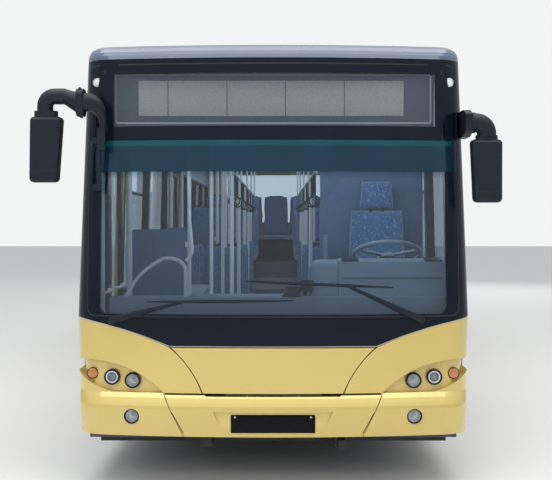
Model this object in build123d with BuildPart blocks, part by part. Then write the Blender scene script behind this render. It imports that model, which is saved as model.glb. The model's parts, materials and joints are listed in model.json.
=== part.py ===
from build123d import *
import math
import os

# City bus, low entry, with two double doors on the kerb side.
# Origin on the ground at mid-length of the body. +X is the driver's side, the front faces -Y, +Z is up.

os.makedirs("parts", exist_ok=True)

# Body
body_length = 11950.0
skirt_height = 330.0
skirt_half = 1231.0
waist_height = 1060.0
waist_half = 1250.0
gutter_height = 2690.0
gutter_half = 1203.0
crown_rise = 120.0
crown_height = gutter_height + crown_rise
wall = 60.0
roof_skin = 60.0
seam = 4.0
glass_thickness = 8.0
front_y = -body_length / 2
rear_y = body_length / 2
nose_length = 497.0
tail_length = 315.0
nose_joint_y = front_y + nose_length
tail_joint_y = rear_y - tail_length

# Nose, as seen from above: a shallow bow between two corner arcs
nose_bow = 6000.0
nose_corner = 200.0
nose_skin = 40.0
bumper_top = 600.0
bumper_ridge = 545.0
bumper_crest = 505.0
bumper_gap = 11.0
bumper_slot_half = 432.0
bumper_slot_drop = 18.0
bumper_split_foot_x = 552.0
bumper_split_width = 6.0
bumper_split_depth = 10.0
bumper_foot_setback = 50.0
bumper_ridge_setback = 12.0
nose_foot_setback = 45.0
nose_waist_setback = 55.0
nose_gutter_setback = 190.0

# Tail, as seen from above
tail_bow = 9000.0
tail_corner = 160.0
tail_skin = 50.0
tail_foot_setback = 20.0
tail_waist_setback = 0.0
tail_gutter_setback = 70.0

# Windscreen and the black surround
screen_bottom = 1085.0
screen_top = gutter_height - 50.0
screen_half = 1085.0
cowl_bottom = 890.0
cowl_bottom_half = 643.0
cowl_corner_height = 1064.0

# Front flap: it folds down on two pins in arms of the bumper
flap_foot_half = 432.0
flap_mid_half = 574.0
flap_mid_height = 825.0
flap_skin = 22.0
flap_seam = 8.6
flap_top_gap = 10.0
flap_hinge_x = 160.0
flap_hinge_depth = 9.0
flap_hinge_rise = 9.0
flap_pin_radius = 3.5
flap_pin_length = 64.0
flap_arm_half = 4.5
flap_arm_width = 12.0
flap_arm_reach = 29.0

# Lamps at the front: x, z, radius
lamp_tip_x = 676.0
lamp_crease_mid = (870.0, 736.0)
lamp_crease_end = 778.0
lamp_lip_mid = (1080.0, 626.0)
front_lamp_table = [
    ("indicator", 1136.0, 708.0, 33.0),
    ("outer headlamp", 1008.0, 690.0, 46.0),
    ("inner headlamp", 876.0, 672.0, 46.0),
]
fog_lamp_x = 875.0
fog_lamp_z = 458.0
fog_lamp_radius = 46.0
marker_x = 1120.0
marker_z = gutter_height - 145.0
marker_radius = 28.0
lamp_clearance = 0.5
lamp_depth = 70.0
lamp_rim = 5.0

# Number plates
plate_width = 520.0
plate_height = 112.0
plate_thickness = 4.0
front_plate_z = 416.0
rear_plate_z = 1500.0
plate_recess_depth = 16.0

# Running gear
front_overhang = 2700.0
front_axle_y = front_y + front_overhang
wheelbase = 5875.0
rear_axle_y = front_axle_y + wheelbase
tyre_radius = 479.0
tyre_width = 276.0
rim_radius = 286.0
hand_hole_radius = 22.0
hand_hole_circle = 226.0
hand_hole_count = 10
wheel_x = 1082.0
twin_pitch = 312.0
kingpin_x = 972.0
kingpin_radius = 25.0
stub_radius = 45.0
running_clearance = 0.3
seat_gap = 0.3
front_arch_radius = 560.0
rear_arch_radius = 530.0
wheelhouse_skin = 20.0
front_wheelhouse_x = 583.0
front_wheelhouse_half = 620.0
rear_wheelhouse_x = 592.0
rear_wheelhouse_half = 580.0
wheelhouse_top = 1080.0

# Floor
floor_height = 340.0
floor_thickness = 50.0
step_height = 560.0
deck_height = 780.0
podium_height = 1000.0
podium_y = rear_y - 1625.0
floor_half = 1166.0
floor_front_y = front_y + 265.0
floor_rear_y = rear_y - 175.0

# Underframe
rail_x = 430.0
rail_width = 80.0
rail_depth = 60.0
pad_radius = 60.0
pad_height = 20.0
pad_front_y = front_axle_y - 800.0
towing_y = front_y + 195.0
towing_bore = 18.0
towing_eye = 70.0
towing_width = 40.0

# Doors: front edge of each doorway, along the kerb side
doorway_width = 1250.0
front_doorway_y = front_y + 515.0
middle_doorway_y = front_axle_y + 2313.0
step_y = middle_doorway_y + doorway_width + 862.0
deck_y = step_y + 300.0
pad_middle_y = step_y - 150.0
doorway_top = 2290.0
door_plane = 1206.0
door_guide_depth = 80.0
door_arm = 310.0
door_gap = 5.0
door_jamb_gap = 15.0
post_set_back = 27.0
post_radius = 22.0
leaf_thickness = 35.0
leaf_bottom = 366.0
leaf_top = 2246.0
arm_thickness = 12.0
arm_gap = 6.0
arm_half_width = 18.0
door_pin_radius = 8.0
roller_radius = 10.0
leaf_border = 60.0
leaf_glass = 6.0
header_bottom = 2282.0
header_height = 120.0

# Side windows: equal panes between pillars
window_sill = 1120.0
window_head = gutter_height - 450.0
window_corner = 45.0
driver_window_sill = 1010.0
window_pillar = 80.0
last_window_y = rear_y - 475.0
driver_window = (front_y + 575.0, front_y + 1685.0)
# front edge of the first pane, rear edge of the last, number of panes
left_window_rows = [(driver_window[1] + window_pillar, last_window_y, 6)]
right_window_rows = [
    (front_doorway_y + doorway_width + window_pillar, middle_doorway_y - window_pillar, 2),
    (middle_doorway_y + doorway_width + window_pillar, last_window_y, 4),
]

# Rear
rear_window_half = 875.0
rear_window_bottom = 1640.0
rear_window_top = gutter_height - 220.0
lid_half = 880.0
lid_bottom = 420.0
lid_top = 1360.0
lid_skin = 30.0
lid_hinge_x = 200.0
lid_hinge_depth = 6.0
lid_hinge_drop = 9.0
lid_top_gap = 10.0
lid_pin_radius = 4.0
lid_pin_length = 80.0
lid_lug_width = 16.0
hinge_side_gap = 6.0

# Seats
seat_width = 440.0
seat_pitch_x = 460.0
seat_depth = 430.0
seat_height = 450.0
cushion_thickness = 70.0
back_height = 640.0
back_thickness = 60.0


def half_width(height):
    """Half width over the skin: it widens to the waist and leans in above it."""
    if height < waist_height:
        return skirt_half + (waist_half - skirt_half) * (height - skirt_height) / (waist_height - skirt_height)
    return waist_half + (gutter_half - waist_half) * (height - waist_height) / (gutter_height - waist_height)


def panes(rows):
    """Front and rear edges of equal panes with a pillar between them."""
    edges = []
    for low, high, count in rows:
        pitch = (high - low + window_pillar) / count
        edges += [(low + i * pitch, low + (i + 1) * pitch - window_pillar) for i in range(count)]
    return edges


def between(height, low, high, low_value, high_value):
    """Value on the straight line between two heights."""
    return low_value + (high_value - low_value) * (height - low) / (high - low)


def nose_setback(height):
    """How far the nose lies behind the bumper's crest."""
    if height < waist_height:
        return between(height, bumper_top, waist_height, nose_foot_setback, nose_waist_setback)
    return between(height, waist_height, gutter_height, nose_waist_setback, nose_gutter_setback)


def tail_setback(height):
    """How far the tail lies ahead of the rearmost line."""
    if height < waist_height:
        return between(height, skirt_height, waist_height, tail_foot_setback, tail_waist_setback)
    return between(height, waist_height, gutter_height, tail_waist_setback, tail_gutter_setback)


def corner_centre(half, apex, bow, corner):
    """Distance from mid-length to the centre of a corner arc that meets the side and the bow tangentially."""
    return apex - bow + math.sqrt((bow - corner) ** 2 - (half - corner) ** 2)


def end_plan(height, half, apex, joint, bow, corner, outward):
    """Plan of one end of the body at a height. outward is -1 at the nose and 1 at the tail."""
    centre_y = corner_centre(half, apex, bow, corner)
    bow_centre_y = apex - bow
    reach = math.hypot(half - corner, centre_y - bow_centre_y)
    touch = ((half - corner) * bow / reach, bow_centre_y + (centre_y - bow_centre_y) * bow / reach)
    turn = math.atan2(touch[1] - centre_y, touch[0] - (half - corner)) / 2
    middle = (half - corner + corner * math.cos(turn), centre_y + corner * math.sin(turn))
    with BuildSketch(Plane.XY.offset(height)) as plan:
        with BuildLine():
            Line((-half, outward * joint), (half, outward * joint))
            Line((half, outward * joint), (half, outward * centre_y))
            ThreePointArc(
                (half, outward * centre_y),
                (middle[0], outward * middle[1]),
                (touch[0], outward * touch[1]),
            )
            ThreePointArc(
                (touch[0], outward * touch[1]),
                (0, outward * apex),
                (-touch[0], outward * touch[1]),
            )
            ThreePointArc(
                (-touch[0], outward * touch[1]),
                (-middle[0], outward * middle[1]),
                (-half, outward * centre_y),
            )
            Line((-half, outward * centre_y), (-half, outward * joint))
        make_face()
    return plan.sketch


def nose_plan(height, setback, inset=0.0, joint=-nose_joint_y):
    """Plan of the nose at a height, moved inwards all round by the inset."""
    return end_plan(
        height,
        half_width(height) - inset,
        -front_y - setback - inset,
        joint,
        nose_bow - inset,
        nose_corner - inset,
        -1,
    )


def tail_plan(height, setback, inset=0.0, joint=tail_joint_y):
    """Plan of the tail at a height, moved inwards all round by the inset."""
    return end_plan(
        height,
        half_width(height) - inset,
        rear_y - setback - inset,
        joint,
        tail_bow - inset,
        tail_corner - inset,
        1,
    )


def nose_shell(outer_inset, inner_inset, bottom=bumper_top, top=gutter_height):
    """The nose between two insets, from the bumper's top edge to the gutter."""
    heights = [bottom, waist_height, top]
    with BuildPart() as shell:
        loft([nose_plan(h, nose_setback(h), outer_inset) for h in heights], ruled=True)
        loft([nose_plan(h, nose_setback(h), inner_inset) for h in heights], ruled=True, mode=Mode.SUBTRACT)
    return shell.part


def tail_shell(outer_inset, inner_inset):
    """The tail between two insets, from the skirt to the gutter."""
    heights = [skirt_height, waist_height, gutter_height]
    with BuildPart() as shell:
        loft([tail_plan(h, tail_setback(h), outer_inset) for h in heights], ruled=True)
        loft([tail_plan(h, tail_setback(h), inner_inset) for h in heights], ruled=True, mode=Mode.SUBTRACT)
    return shell.part


def bumper_block(inset):
    """The bumper's form at an inset: a foot that tucks under, a crest and a rounded shelf."""
    rows = [
        (skirt_height, bumper_foot_setback),
        (bumper_crest, 0.0),
        ((bumper_crest + bumper_ridge) / 2, bumper_ridge_setback / 4),
        (bumper_ridge, bumper_ridge_setback),
        ((bumper_ridge + bumper_top) / 2, (bumper_ridge_setback + nose_foot_setback) / 2 - 2.0),
        (bumper_top, nose_foot_setback),
    ]
    with BuildPart() as block:
        loft([nose_plan(height, setback, inset) for height, setback in rows], ruled=True)
    return block.part


def tail_face_y(x, height, inset=0.0):
    """Y of the tail's bow at a point of the rear elevation."""
    bow = tail_bow - inset
    apex = rear_y - tail_setback(height) - inset
    return apex - bow + math.sqrt(bow**2 - x**2)


def front_face_y(x, height, inset=0.0):
    """Y of the nose's bow at a point of the front elevation."""
    bow = nose_bow - inset
    apex = front_y + nose_setback(height) + inset
    return apex + bow - math.sqrt(bow**2 - x**2)


front_view = Plane.XZ.offset(-nose_joint_y)
front_depth = nose_joint_y - front_y + 100.0
rear_view = Plane(origin=(0, tail_joint_y, 0), x_dir=(-1, 0, 0), z_dir=(0, 1, 0))
rear_depth = rear_y - tail_joint_y + 100.0


# Side walls: one section, extruded along the body, with the windows, arches and doorways cut out


def wall_section(side, y, outer_inset, inner_inset):
    """Section of one side wall between two insets, seen along the body."""
    heights = [skirt_height, waist_height, gutter_height]
    outer = [(side * (half_width(h) - outer_inset), h) for h in heights]
    inner = [(side * (half_width(h) - inner_inset), h) for h in reversed(heights)]
    with BuildSketch(Plane.XZ.offset(-y)) as section:
        with BuildLine():
            Polyline(*outer, *inner, close=True)
        make_face()
    return section.sketch


wall_length = tail_joint_y - nose_joint_y


def window_sketch(table, sill, head):
    """Window openings in side elevation."""
    with BuildSketch(Plane.YZ) as openings:
        for low, high in table:
            with Locations(((low + high) / 2, (sill + head) / 2)):
                RectangleRounded(high - low, head - sill, window_corner)
    return openings.sketch


with BuildPart() as left_side_wall:
    extrude(wall_section(1, tail_joint_y, 0, wall), amount=wall_length)
    extrude(window_sketch(panes(left_window_rows), window_sill, window_head), amount=2000, mode=Mode.SUBTRACT)
    extrude(window_sketch([driver_window], driver_window_sill, window_head), amount=2000, mode=Mode.SUBTRACT)
    with BuildSketch(Plane.YZ) as arches:
        for axle_y, radius in [(front_axle_y, front_arch_radius), (rear_axle_y, rear_arch_radius)]:
            with Locations((axle_y, tyre_radius)):
                Circle(radius)
            with Locations((axle_y, tyre_radius / 2)):
                Rectangle(2 * radius * 0.965, tyre_radius)
    extrude(amount=2000, mode=Mode.SUBTRACT)
left_side_wall.part.label = "left_side_wall"
export_step(left_side_wall.part, "parts/left_side_wall.step")

with BuildPart() as right_side_wall:
    extrude(wall_section(-1, tail_joint_y, 0, wall), amount=wall_length)
    extrude(window_sketch(panes(right_window_rows), window_sill, window_head), amount=-2000, mode=Mode.SUBTRACT)
    with BuildSketch(Plane.YZ) as kerb_cutouts:
        for axle_y, radius in [(front_axle_y, front_arch_radius), (rear_axle_y, rear_arch_radius)]:
            with Locations((axle_y, tyre_radius)):
                Circle(radius)
            with Locations((axle_y, tyre_radius / 2)):
                Rectangle(2 * radius * 0.965, tyre_radius)
        for doorway_y in [front_doorway_y, middle_doorway_y]:
            with Locations((doorway_y + doorway_width / 2, doorway_top / 2)):
                Rectangle(doorway_width, doorway_top)
    extrude(amount=-2000, mode=Mode.SUBTRACT)
right_side_wall.part.label = "right_side_wall"
export_step(right_side_wall.part, "parts/right_side_wall.step")

# Panes bonded flush into the openings
with BuildPart() as side_windows:
    extrude(wall_section(1, tail_joint_y, 0, glass_thickness), amount=wall_length)
    extrude(wall_section(-1, tail_joint_y, 0, glass_thickness), amount=wall_length)
    with BuildPart(mode=Mode.PRIVATE) as pane_prisms:
        extrude(window_sketch(panes(left_window_rows), window_sill, window_head), amount=2000)
        extrude(window_sketch([driver_window], driver_window_sill, window_head), amount=2000)
        extrude(window_sketch(panes(right_window_rows), window_sill, window_head), amount=-2000)
    add(pane_prisms.part, mode=Mode.INTERSECT)
side_windows.part.label = "side_windows"
export_step(side_windows.part, "parts/side_windows.step")


# Roof: an arch over the gutter, and a dome at each end


def roof_section(y, inset):
    """Section of the roof over the gutter line, smaller all round by the inset."""
    edge = gutter_half - inset
    top = crown_height - inset
    shoulder = (edge - 103.0, top - crown_rise / 5)
    knuckle = (edge - 25.0, gutter_height + (top - gutter_height) * 0.5)
    with BuildSketch(Plane.XZ.offset(-y)) as section:
        with BuildLine():
            Line((-edge, gutter_height), (edge, gutter_height))
            ThreePointArc((edge, gutter_height), knuckle, shoulder)
            ThreePointArc(shoulder, (0, top), (-shoulder[0], shoulder[1]))
            ThreePointArc((-shoulder[0], shoulder[1]), (-knuckle[0], knuckle[1]), (-edge, gutter_height))
        make_face()
    return section.sketch


with BuildPart() as roof:
    extrude(roof_section(tail_joint_y, 0), amount=wall_length)
    extrude(roof_section(tail_joint_y, roof_skin), amount=wall_length, mode=Mode.SUBTRACT)
roof.part.label = "roof"
export_step(roof.part, "parts/roof.step")

dome_length = 800.0
# share of the crown's rise, distance that the face has rolled back
dome_rows = [(0.0, 0.0), (0.2, 8.0), (0.4, 24.0), (0.6, 52.0), (0.8, 112.0), (1.0, 300.0)]


def dome(plan, gutter_setback, inset, y_from):
    """The roof's arch, closed at one end by a face that rolls back over the gutter."""
    rows = [(gutter_height + share * crown_rise, gutter_setback + back) for share, back in dome_rows]
    with BuildPart() as form:
        loft([plan(height, setback, inset) for height, setback in rows], ruled=True)
        extrude(roof_section(y_from, inset), amount=1200, mode=Mode.INTERSECT)
    return form.part


def dome_plan_front(height, setback, inset):
    """Plan of the front dome, as wide as the body at the gutter."""
    return end_plan(
        height,
        gutter_half - inset,
        -front_y - setback - inset,
        -nose_joint_y - dome_length,
        nose_bow - inset,
        nose_corner - inset,
        -1,
    )


def dome_plan_rear(height, setback, inset):
    """Plan of the rear dome, as wide as the body at the gutter."""
    return end_plan(
        height,
        gutter_half - inset,
        rear_y - setback - inset,
        tail_joint_y - dome_length,
        tail_bow - inset,
        tail_corner - inset,
        1,
    )


with BuildPart() as roof_domes:
    add(dome(dome_plan_front, nose_gutter_setback, 0, nose_joint_y))
    add(dome(dome_plan_rear, tail_gutter_setback, 0, tail_joint_y + 1200))
    add(dome(dome_plan_front, nose_gutter_setback, roof_skin, nose_joint_y), mode=Mode.SUBTRACT)
    add(dome(dome_plan_rear, tail_gutter_setback, roof_skin, tail_joint_y + 1200), mode=Mode.SUBTRACT)
roof_domes.part.label = "roof_domes"
export_step(roof_domes.part, "parts/roof_domes.step")

# Two hatches that stand on the roof's crown
hatch_length = 760.0
hatch_width = 600.0
hatch_height = 34.0
hatch_y = [front_y + 3625.0, rear_y - 3875.0]
with BuildPart() as roof_hatches:
    with BuildSketch(Plane.XY.offset(crown_height - 30)):
        with Locations(*[(0, y) for y in hatch_y]):
            RectangleRounded(hatch_width, hatch_length, 60)
    extrude(amount=30 + hatch_height, taper=12)
    extrude(roof_section(tail_joint_y, 0), amount=wall_length, mode=Mode.SUBTRACT)
roof_hatches.part.label = "roof_hatches"
export_step(roof_hatches.part, "parts/roof_hatches.step")

# Nose pieces, all cut from the same shell by their outlines in front elevation

skin_piece = nose_shell(0, nose_skin)
outer_sheet = nose_shell(0, glass_thickness)
far = waist_half + 60.0


def cowl_edge(drop):
    """Points of the curve under the black cowl, from the middle to the corner, lowered by the drop."""
    return [
        (cowl_bottom_half, cowl_bottom - drop),
        (977.0, 1003.0 - drop),
        (far, cowl_corner_height + 6.0 - drop),
    ]


def upper_outline():
    """Front elevation of everything over the cowl's lower edge."""
    right = cowl_edge(0)
    with BuildSketch(front_view) as outline:
        with BuildLine():
            Line((-right[0][0], right[0][1]), right[0])
            ThreePointArc(*right)
            Polyline(right[2], (far, gutter_height), (-far, gutter_height), (-right[2][0], right[2][1]))
            ThreePointArc(*[(-x, z) for x, z in reversed(right)])
        make_face()
    return outline.sketch


with BuildPart() as windscreen_surround:
    add(skin_piece)
    extrude(upper_outline(), amount=front_depth, mode=Mode.INTERSECT)
    with BuildSketch(front_view) as screen_opening:
        with Locations((0, (screen_bottom + screen_top) / 2)):
            RectangleRounded(2 * screen_half, screen_top - screen_bottom, 50)
    extrude(amount=front_depth, mode=Mode.SUBTRACT)
    with BuildSketch(front_view) as marker_holes:
        with Locations((marker_x, marker_z), (-marker_x, marker_z)):
            Circle(marker_radius + lamp_clearance)
    extrude(amount=front_depth, mode=Mode.SUBTRACT)
windscreen_surround.part.label = "windscreen_surround"
export_step(windscreen_surround.part, "parts/windscreen_surround.step")

with BuildPart() as windscreen:
    add(outer_sheet)
    with BuildSketch(front_view) as screen_pane:
        with Locations((0, (screen_bottom + screen_top) / 2)):
            RectangleRounded(2 * screen_half, screen_top - screen_bottom, 50)
    extrude(amount=front_depth, mode=Mode.INTERSECT)
windscreen.part.label = "windscreen"
export_step(windscreen.part, "parts/windscreen.step")


def crease_points(side, rise):
    """The crease over the lamps, from its inner tip to the side."""
    return [
        (side * lamp_tip_x, bumper_top + rise),
        (side * lamp_crease_mid[0], lamp_crease_mid[1] + rise),
        (side * far, lamp_crease_end + 6.0 + rise),
    ]


def lip_points(side, drop):
    """The lip under the lamps, from its inner tip to the side."""
    return [
        (side * lamp_tip_x, bumper_top - drop),
        (side * lamp_lip_mid[0], lamp_lip_mid[1] - drop),
        (side * far, lamp_crease_end - drop),
    ]


def flap_edge(side, gap):
    """The flap's slanted edge, from the top to the foot, moved outwards by the gap."""
    return [
        (side * (cowl_bottom_half + gap), cowl_bottom),
        (side * (flap_mid_half + gap), flap_mid_height),
        (side * (flap_foot_half + gap), bumper_top),
    ]


with BuildPart() as front_corner_panels:
    add(skin_piece)
    with BuildSketch(front_view) as corner_outline:
        for side in [1, -1]:
            start = (side * (cowl_bottom_half + flap_seam), cowl_bottom - seam)
            slant = [start, *flap_edge(side, flap_seam)[1:]]
            cowl = [start, *[(side * x, z) for x, z in cowl_edge(seam)[1:]]]
            crease = crease_points(side, 0)
            with BuildLine():
                ThreePointArc(*slant)
                Line(slant[2], crease[0])
                ThreePointArc(*crease)
                Line(crease[2], cowl[2])
                ThreePointArc(*reversed(cowl))
            make_face()
    extrude(amount=front_depth, mode=Mode.INTERSECT)
front_corner_panels.part.label = "front_corner_panels"
export_step(front_corner_panels.part, "parts/front_corner_panels.step")

# The flap's two pins lie close behind its face, and its foot is notched from behind for the bumper's arms
flap_hinge_y = front_face_y(flap_hinge_x, bumper_top) + flap_hinge_depth
flap_hinge_z = bumper_top + flap_hinge_rise
with BuildPart() as front_flap:
    add(nose_shell(0, flap_skin))
    with BuildSketch(front_view) as flap_outline:
        with BuildLine():
            right_edge = flap_edge(1, 0)
            left_edge = flap_edge(-1, 0)
            ThreePointArc(*right_edge)
            Line(right_edge[2], left_edge[2])
            ThreePointArc(*reversed(left_edge))
            Line(left_edge[0], right_edge[0])
        make_face()
    extrude(amount=front_depth, mode=Mode.INTERSECT)
    with Locations((0, front_y + 100, cowl_bottom)):
        Box(2 * cowl_bottom_half, 400, 2 * flap_top_gap, mode=Mode.SUBTRACT)
    for x in [-flap_hinge_x, flap_hinge_x]:
        notch_half = flap_arm_half + 1.0
        with Locations((x, flap_hinge_y - notch_half + 30, flap_hinge_z + notch_half - 15)):
            Box(flap_arm_width + 2 * hinge_side_gap, 60, 30, mode=Mode.SUBTRACT)
        with Locations(Location((x, flap_hinge_y, flap_hinge_z), (0, 90, 0))):
            Cylinder(flap_pin_radius + running_clearance, flap_pin_length + 4, mode=Mode.SUBTRACT)
front_flap.part.label = "front_flap"
export_step(front_flap.part, "parts/front_flap.step")

with BuildPart() as front_bumper:
    add(bumper_block(0))
    add(bumper_block(nose_skin), mode=Mode.SUBTRACT)
    with BuildPart(mode=Mode.PRIVATE) as corner_rise:
        add(skin_piece)
        with BuildSketch(front_view) as lip_outline:
            for side in [1, -1]:
                lip = lip_points(side, 0)
                with BuildLine():
                    ThreePointArc(*lip)
                    Polyline(lip[2], (side * far, bumper_crest), (lip[0][0], bumper_crest), lip[0])
                make_face()
        extrude(amount=front_depth, mode=Mode.INTERSECT)
    add(corner_rise.part)
    with BuildSketch(front_view) as fog_holes:
        with Locations((fog_lamp_x, fog_lamp_z), (-fog_lamp_x, fog_lamp_z)):
            Circle(fog_lamp_radius + lamp_clearance)
    extrude(amount=front_depth, mode=Mode.SUBTRACT)
    with Locations((0, front_y, bumper_top)):
        Box(2 * (lamp_tip_x - seam), 400, 2 * bumper_gap, mode=Mode.SUBTRACT)
    # The slot under the flap, with slanted ends
    with BuildSketch(front_view) as foot_slot:
        with BuildLine():
            Polyline(
                (-bumper_slot_half, bumper_top),
                (bumper_slot_half, bumper_top),
                (bumper_slot_half - bumper_slot_drop, bumper_top - bumper_slot_drop),
                (bumper_slot_drop - bumper_slot_half, bumper_top - bumper_slot_drop),
                close=True,
            )
        make_face()
    extrude(amount=front_depth, mode=Mode.SUBTRACT)
    # Grooves where the corner pieces meet the middle one
    with BuildPart(mode=Mode.PRIVATE) as split_grooves:
        add(bumper_block(0))
        add(bumper_block(bumper_split_depth), mode=Mode.SUBTRACT)
        with BuildSketch(front_view) as split_outline:
            for side in [1, -1]:
                with BuildLine():
                    Polyline(
                        (side * lamp_tip_x, bumper_top),
                        (side * bumper_split_foot_x, skirt_height),
                        (side * (bumper_split_foot_x + bumper_split_width), skirt_height),
                        (side * (lamp_tip_x + bumper_split_width), bumper_top),
                        close=True,
                    )
                make_face()
        extrude(amount=front_depth, mode=Mode.INTERSECT)
    add(split_grooves.part, mode=Mode.SUBTRACT)
    plate_face_y = front_y + 22.0 + plate_recess_depth
    with BuildSketch(Plane.XZ.offset(-plate_face_y)) as plate_recess:
        with BuildLine():
            Polyline((-368, 492), (368, 492), (300, 346), (-300, 346), close=True)
        make_face()
    extrude(amount=200, mode=Mode.SUBTRACT)
    # Arms for the flap's pins: a foot behind the bumper's top edge, a stem, and an arm that reaches forward
    for x in [-flap_hinge_x, flap_hinge_x]:
        with Locations((x, flap_hinge_y + flap_arm_reach / 2, bumper_top - 20)):
            Box(flap_arm_width, flap_arm_reach, 12)
        with Locations((x, flap_hinge_y + flap_arm_reach - 5, (bumper_top - 20 + flap_hinge_z) / 2)):
            Box(flap_arm_width, 10, flap_hinge_z - bumper_top + 20)
        with Locations((x, flap_hinge_y + flap_arm_reach / 2, flap_hinge_z)):
            Box(flap_arm_width, flap_arm_reach, 2 * flap_arm_half)
        with Locations(Location((x, flap_hinge_y, flap_hinge_z), (0, 90, 0))):
            Cylinder(flap_arm_half, flap_arm_width)
            Cylinder(flap_pin_radius, flap_pin_length)
front_bumper.part.label = "front_bumper"
export_step(front_bumper.part, "parts/front_bumper.step")

with BuildPart() as number_plates:
    with BuildSketch(Plane.XZ.offset(-plate_face_y)) as front_plate_outline:
        with Locations((0, front_plate_z)):
            RectangleRounded(plate_width, plate_height, 8)
    extrude(amount=plate_thickness)
    rear_plate_y = tail_face_y(0, rear_plate_z - plate_height / 2) + seat_gap
    with BuildSketch(Plane.XZ.offset(-(rear_plate_y + plate_thickness))) as rear_plate_outline:
        with Locations((0, rear_plate_z)):
            RectangleRounded(plate_width, plate_height, 8)
    extrude(amount=plate_thickness)
number_plates.part.label = "number_plates"
export_step(number_plates.part, "parts/number_plates.step")

# Carriers close the lamp openings from behind, and the lamps sit in their holes with a bowl behind each lens
with BuildPart() as lamp_carriers:
    add(nose_shell(nose_skin, nose_skin + 20))
    with BuildSketch(front_view) as carrier_outline:
        for side in [1, -1]:
            with BuildLine():
                Polyline(
                    (side * 620, bumper_top),
                    (side * 800, 800),
                    (side * (waist_half - nose_skin - 4), 830),
                    (side * (waist_half - nose_skin - 4), bumper_top),
                    close=True,
                )
            make_face()
    extrude(amount=front_depth, mode=Mode.INTERSECT)
    with BuildSketch(front_view) as lamp_holes:
        for name, x, z, radius in front_lamp_table:
            with Locations((x, z), (-x, z)):
                Circle(radius + lamp_clearance)
    extrude(amount=front_depth, mode=Mode.SUBTRACT)
lamp_carriers.part.label = "lamp_carriers"
export_step(lamp_carriers.part, "parts/lamp_carriers.step")

with BuildPart() as front_lamps:
    for name, x, z, radius in front_lamp_table:
        face_y = front_face_y(x, z) + (40.0 if x > 1100 else 14.0)
        for side in [1, -1]:
            with BuildSketch(Plane.XZ.offset(-face_y)):
                with Locations((side * x, z)):
                    Circle(radius)
            extrude(amount=-lamp_depth)
            if name != "indicator":
                with Locations((side * x, face_y, z)):
                    Sphere(radius - lamp_rim, mode=Mode.SUBTRACT)
    for side in [1, -1]:
        fog_face_y = front_face_y(fog_lamp_x, bumper_top) - 28.0
        with BuildSketch(Plane.XZ.offset(-fog_face_y)):
            with Locations((side * fog_lamp_x, fog_lamp_z)):
                Circle(fog_lamp_radius)
        extrude(amount=-lamp_depth)
        with Locations((side * fog_lamp_x, fog_face_y, fog_lamp_z)):
            Sphere(fog_lamp_radius - lamp_rim, mode=Mode.SUBTRACT)
        with BuildSketch(Plane.XZ.offset(-(front_face_y(marker_x, marker_z) + 12.0))):
            with Locations((side * marker_x, marker_z)):
                Circle(marker_radius)
        extrude(amount=-60)
front_lamps.part.label = "front_lamps"
export_step(front_lamps.part, "parts/front_lamps.step")

# Front bulkhead: the frame behind the panels
bulkhead_y = floor_front_y - seat_gap
bulkhead_thickness = 30.0
bulkhead_top = 1040.0
bulkhead_half = 980.0
with BuildPart() as front_bulkhead:
    with BuildSketch(Plane.XZ.offset(-bulkhead_y)) as bulkhead_outline:
        with Locations((0, (floor_height + bulkhead_top) / 2)):
            Rectangle(2 * bulkhead_half, bulkhead_top - floor_height)
    extrude(amount=bulkhead_thickness)
front_bulkhead.part.label = "front_bulkhead"
export_step(front_bulkhead.part, "parts/front_bulkhead.step")

# Destination display, hung from a shelf that closes the head of the windscreen
display_half = 1025.0
display_bottom = gutter_height - 422.0
display_front_y = front_y + 331.0
display_depth = 60.0
shelf_thickness = 28.0
shelf_side_gap = 1.2
with BuildPart() as destination_display:
    add(nose_plan(gutter_height - shelf_thickness, nose_setback(gutter_height) - 0.6, nose_skin + shelf_side_gap))
    extrude(amount=shelf_thickness)
    with Locations((0, display_front_y + display_depth / 2, (display_bottom + gutter_height - shelf_thickness) / 2)):
        Box(2 * display_half, display_depth, gutter_height - shelf_thickness - display_bottom)
destination_display.part.label = "destination_display"
export_step(destination_display.part, "parts/destination_display.step")

# Tail pieces

tail_piece = tail_shell(0, tail_skin)
tail_glass = tail_shell(0, glass_thickness)
rear_lamp_x = 1040.0
rear_lamp_table = [(760.0, 50.0), (890.0, 50.0), (1020.0, 50.0)]
# The engine lid turns on two pins in lugs of the rear wall
lid_hinge_y = tail_face_y(lid_hinge_x, lid_top) - lid_hinge_depth
lid_hinge_z = lid_top - lid_top_gap - lid_hinge_drop
with BuildPart() as rear_wall:
    add(tail_piece)
    with BuildSketch(rear_view) as tail_openings:
        with Locations((0, (rear_window_bottom + rear_window_top) / 2)):
            RectangleRounded(2 * rear_window_half, rear_window_top - rear_window_bottom, 60)
        with Locations((0, (lid_bottom + lid_top) / 2)):
            RectangleRounded(2 * (lid_half + seam), lid_top - lid_bottom, 40)
        for side in [1, -1]:
            for z, radius in rear_lamp_table:
                with Locations((side * rear_lamp_x, z)):
                    Circle(radius + lamp_clearance)
    extrude(amount=rear_depth, mode=Mode.SUBTRACT)
    for x in [-lid_hinge_x, lid_hinge_x]:
        with Locations((x, lid_hinge_y - 12, (lid_hinge_z - 7 + lid_top + 30) / 2)):
            Box(lid_lug_width, 36, lid_top + 30 - lid_hinge_z + 7)
        with Locations(Location((x, lid_hinge_y, lid_hinge_z), (0, 90, 0))):
            Cylinder(lid_pin_radius, lid_pin_length)
rear_wall.part.label = "rear_wall"
export_step(rear_wall.part, "parts/rear_wall.step")

with BuildPart() as rear_window:
    add(tail_glass)
    with BuildSketch(rear_view) as rear_pane:
        with Locations((0, (rear_window_bottom + rear_window_top) / 2)):
            RectangleRounded(2 * rear_window_half, rear_window_top - rear_window_bottom, 60)
    extrude(amount=rear_depth, mode=Mode.INTERSECT)
rear_window.part.label = "rear_window"
export_step(rear_window.part, "parts/rear_window.step")

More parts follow.
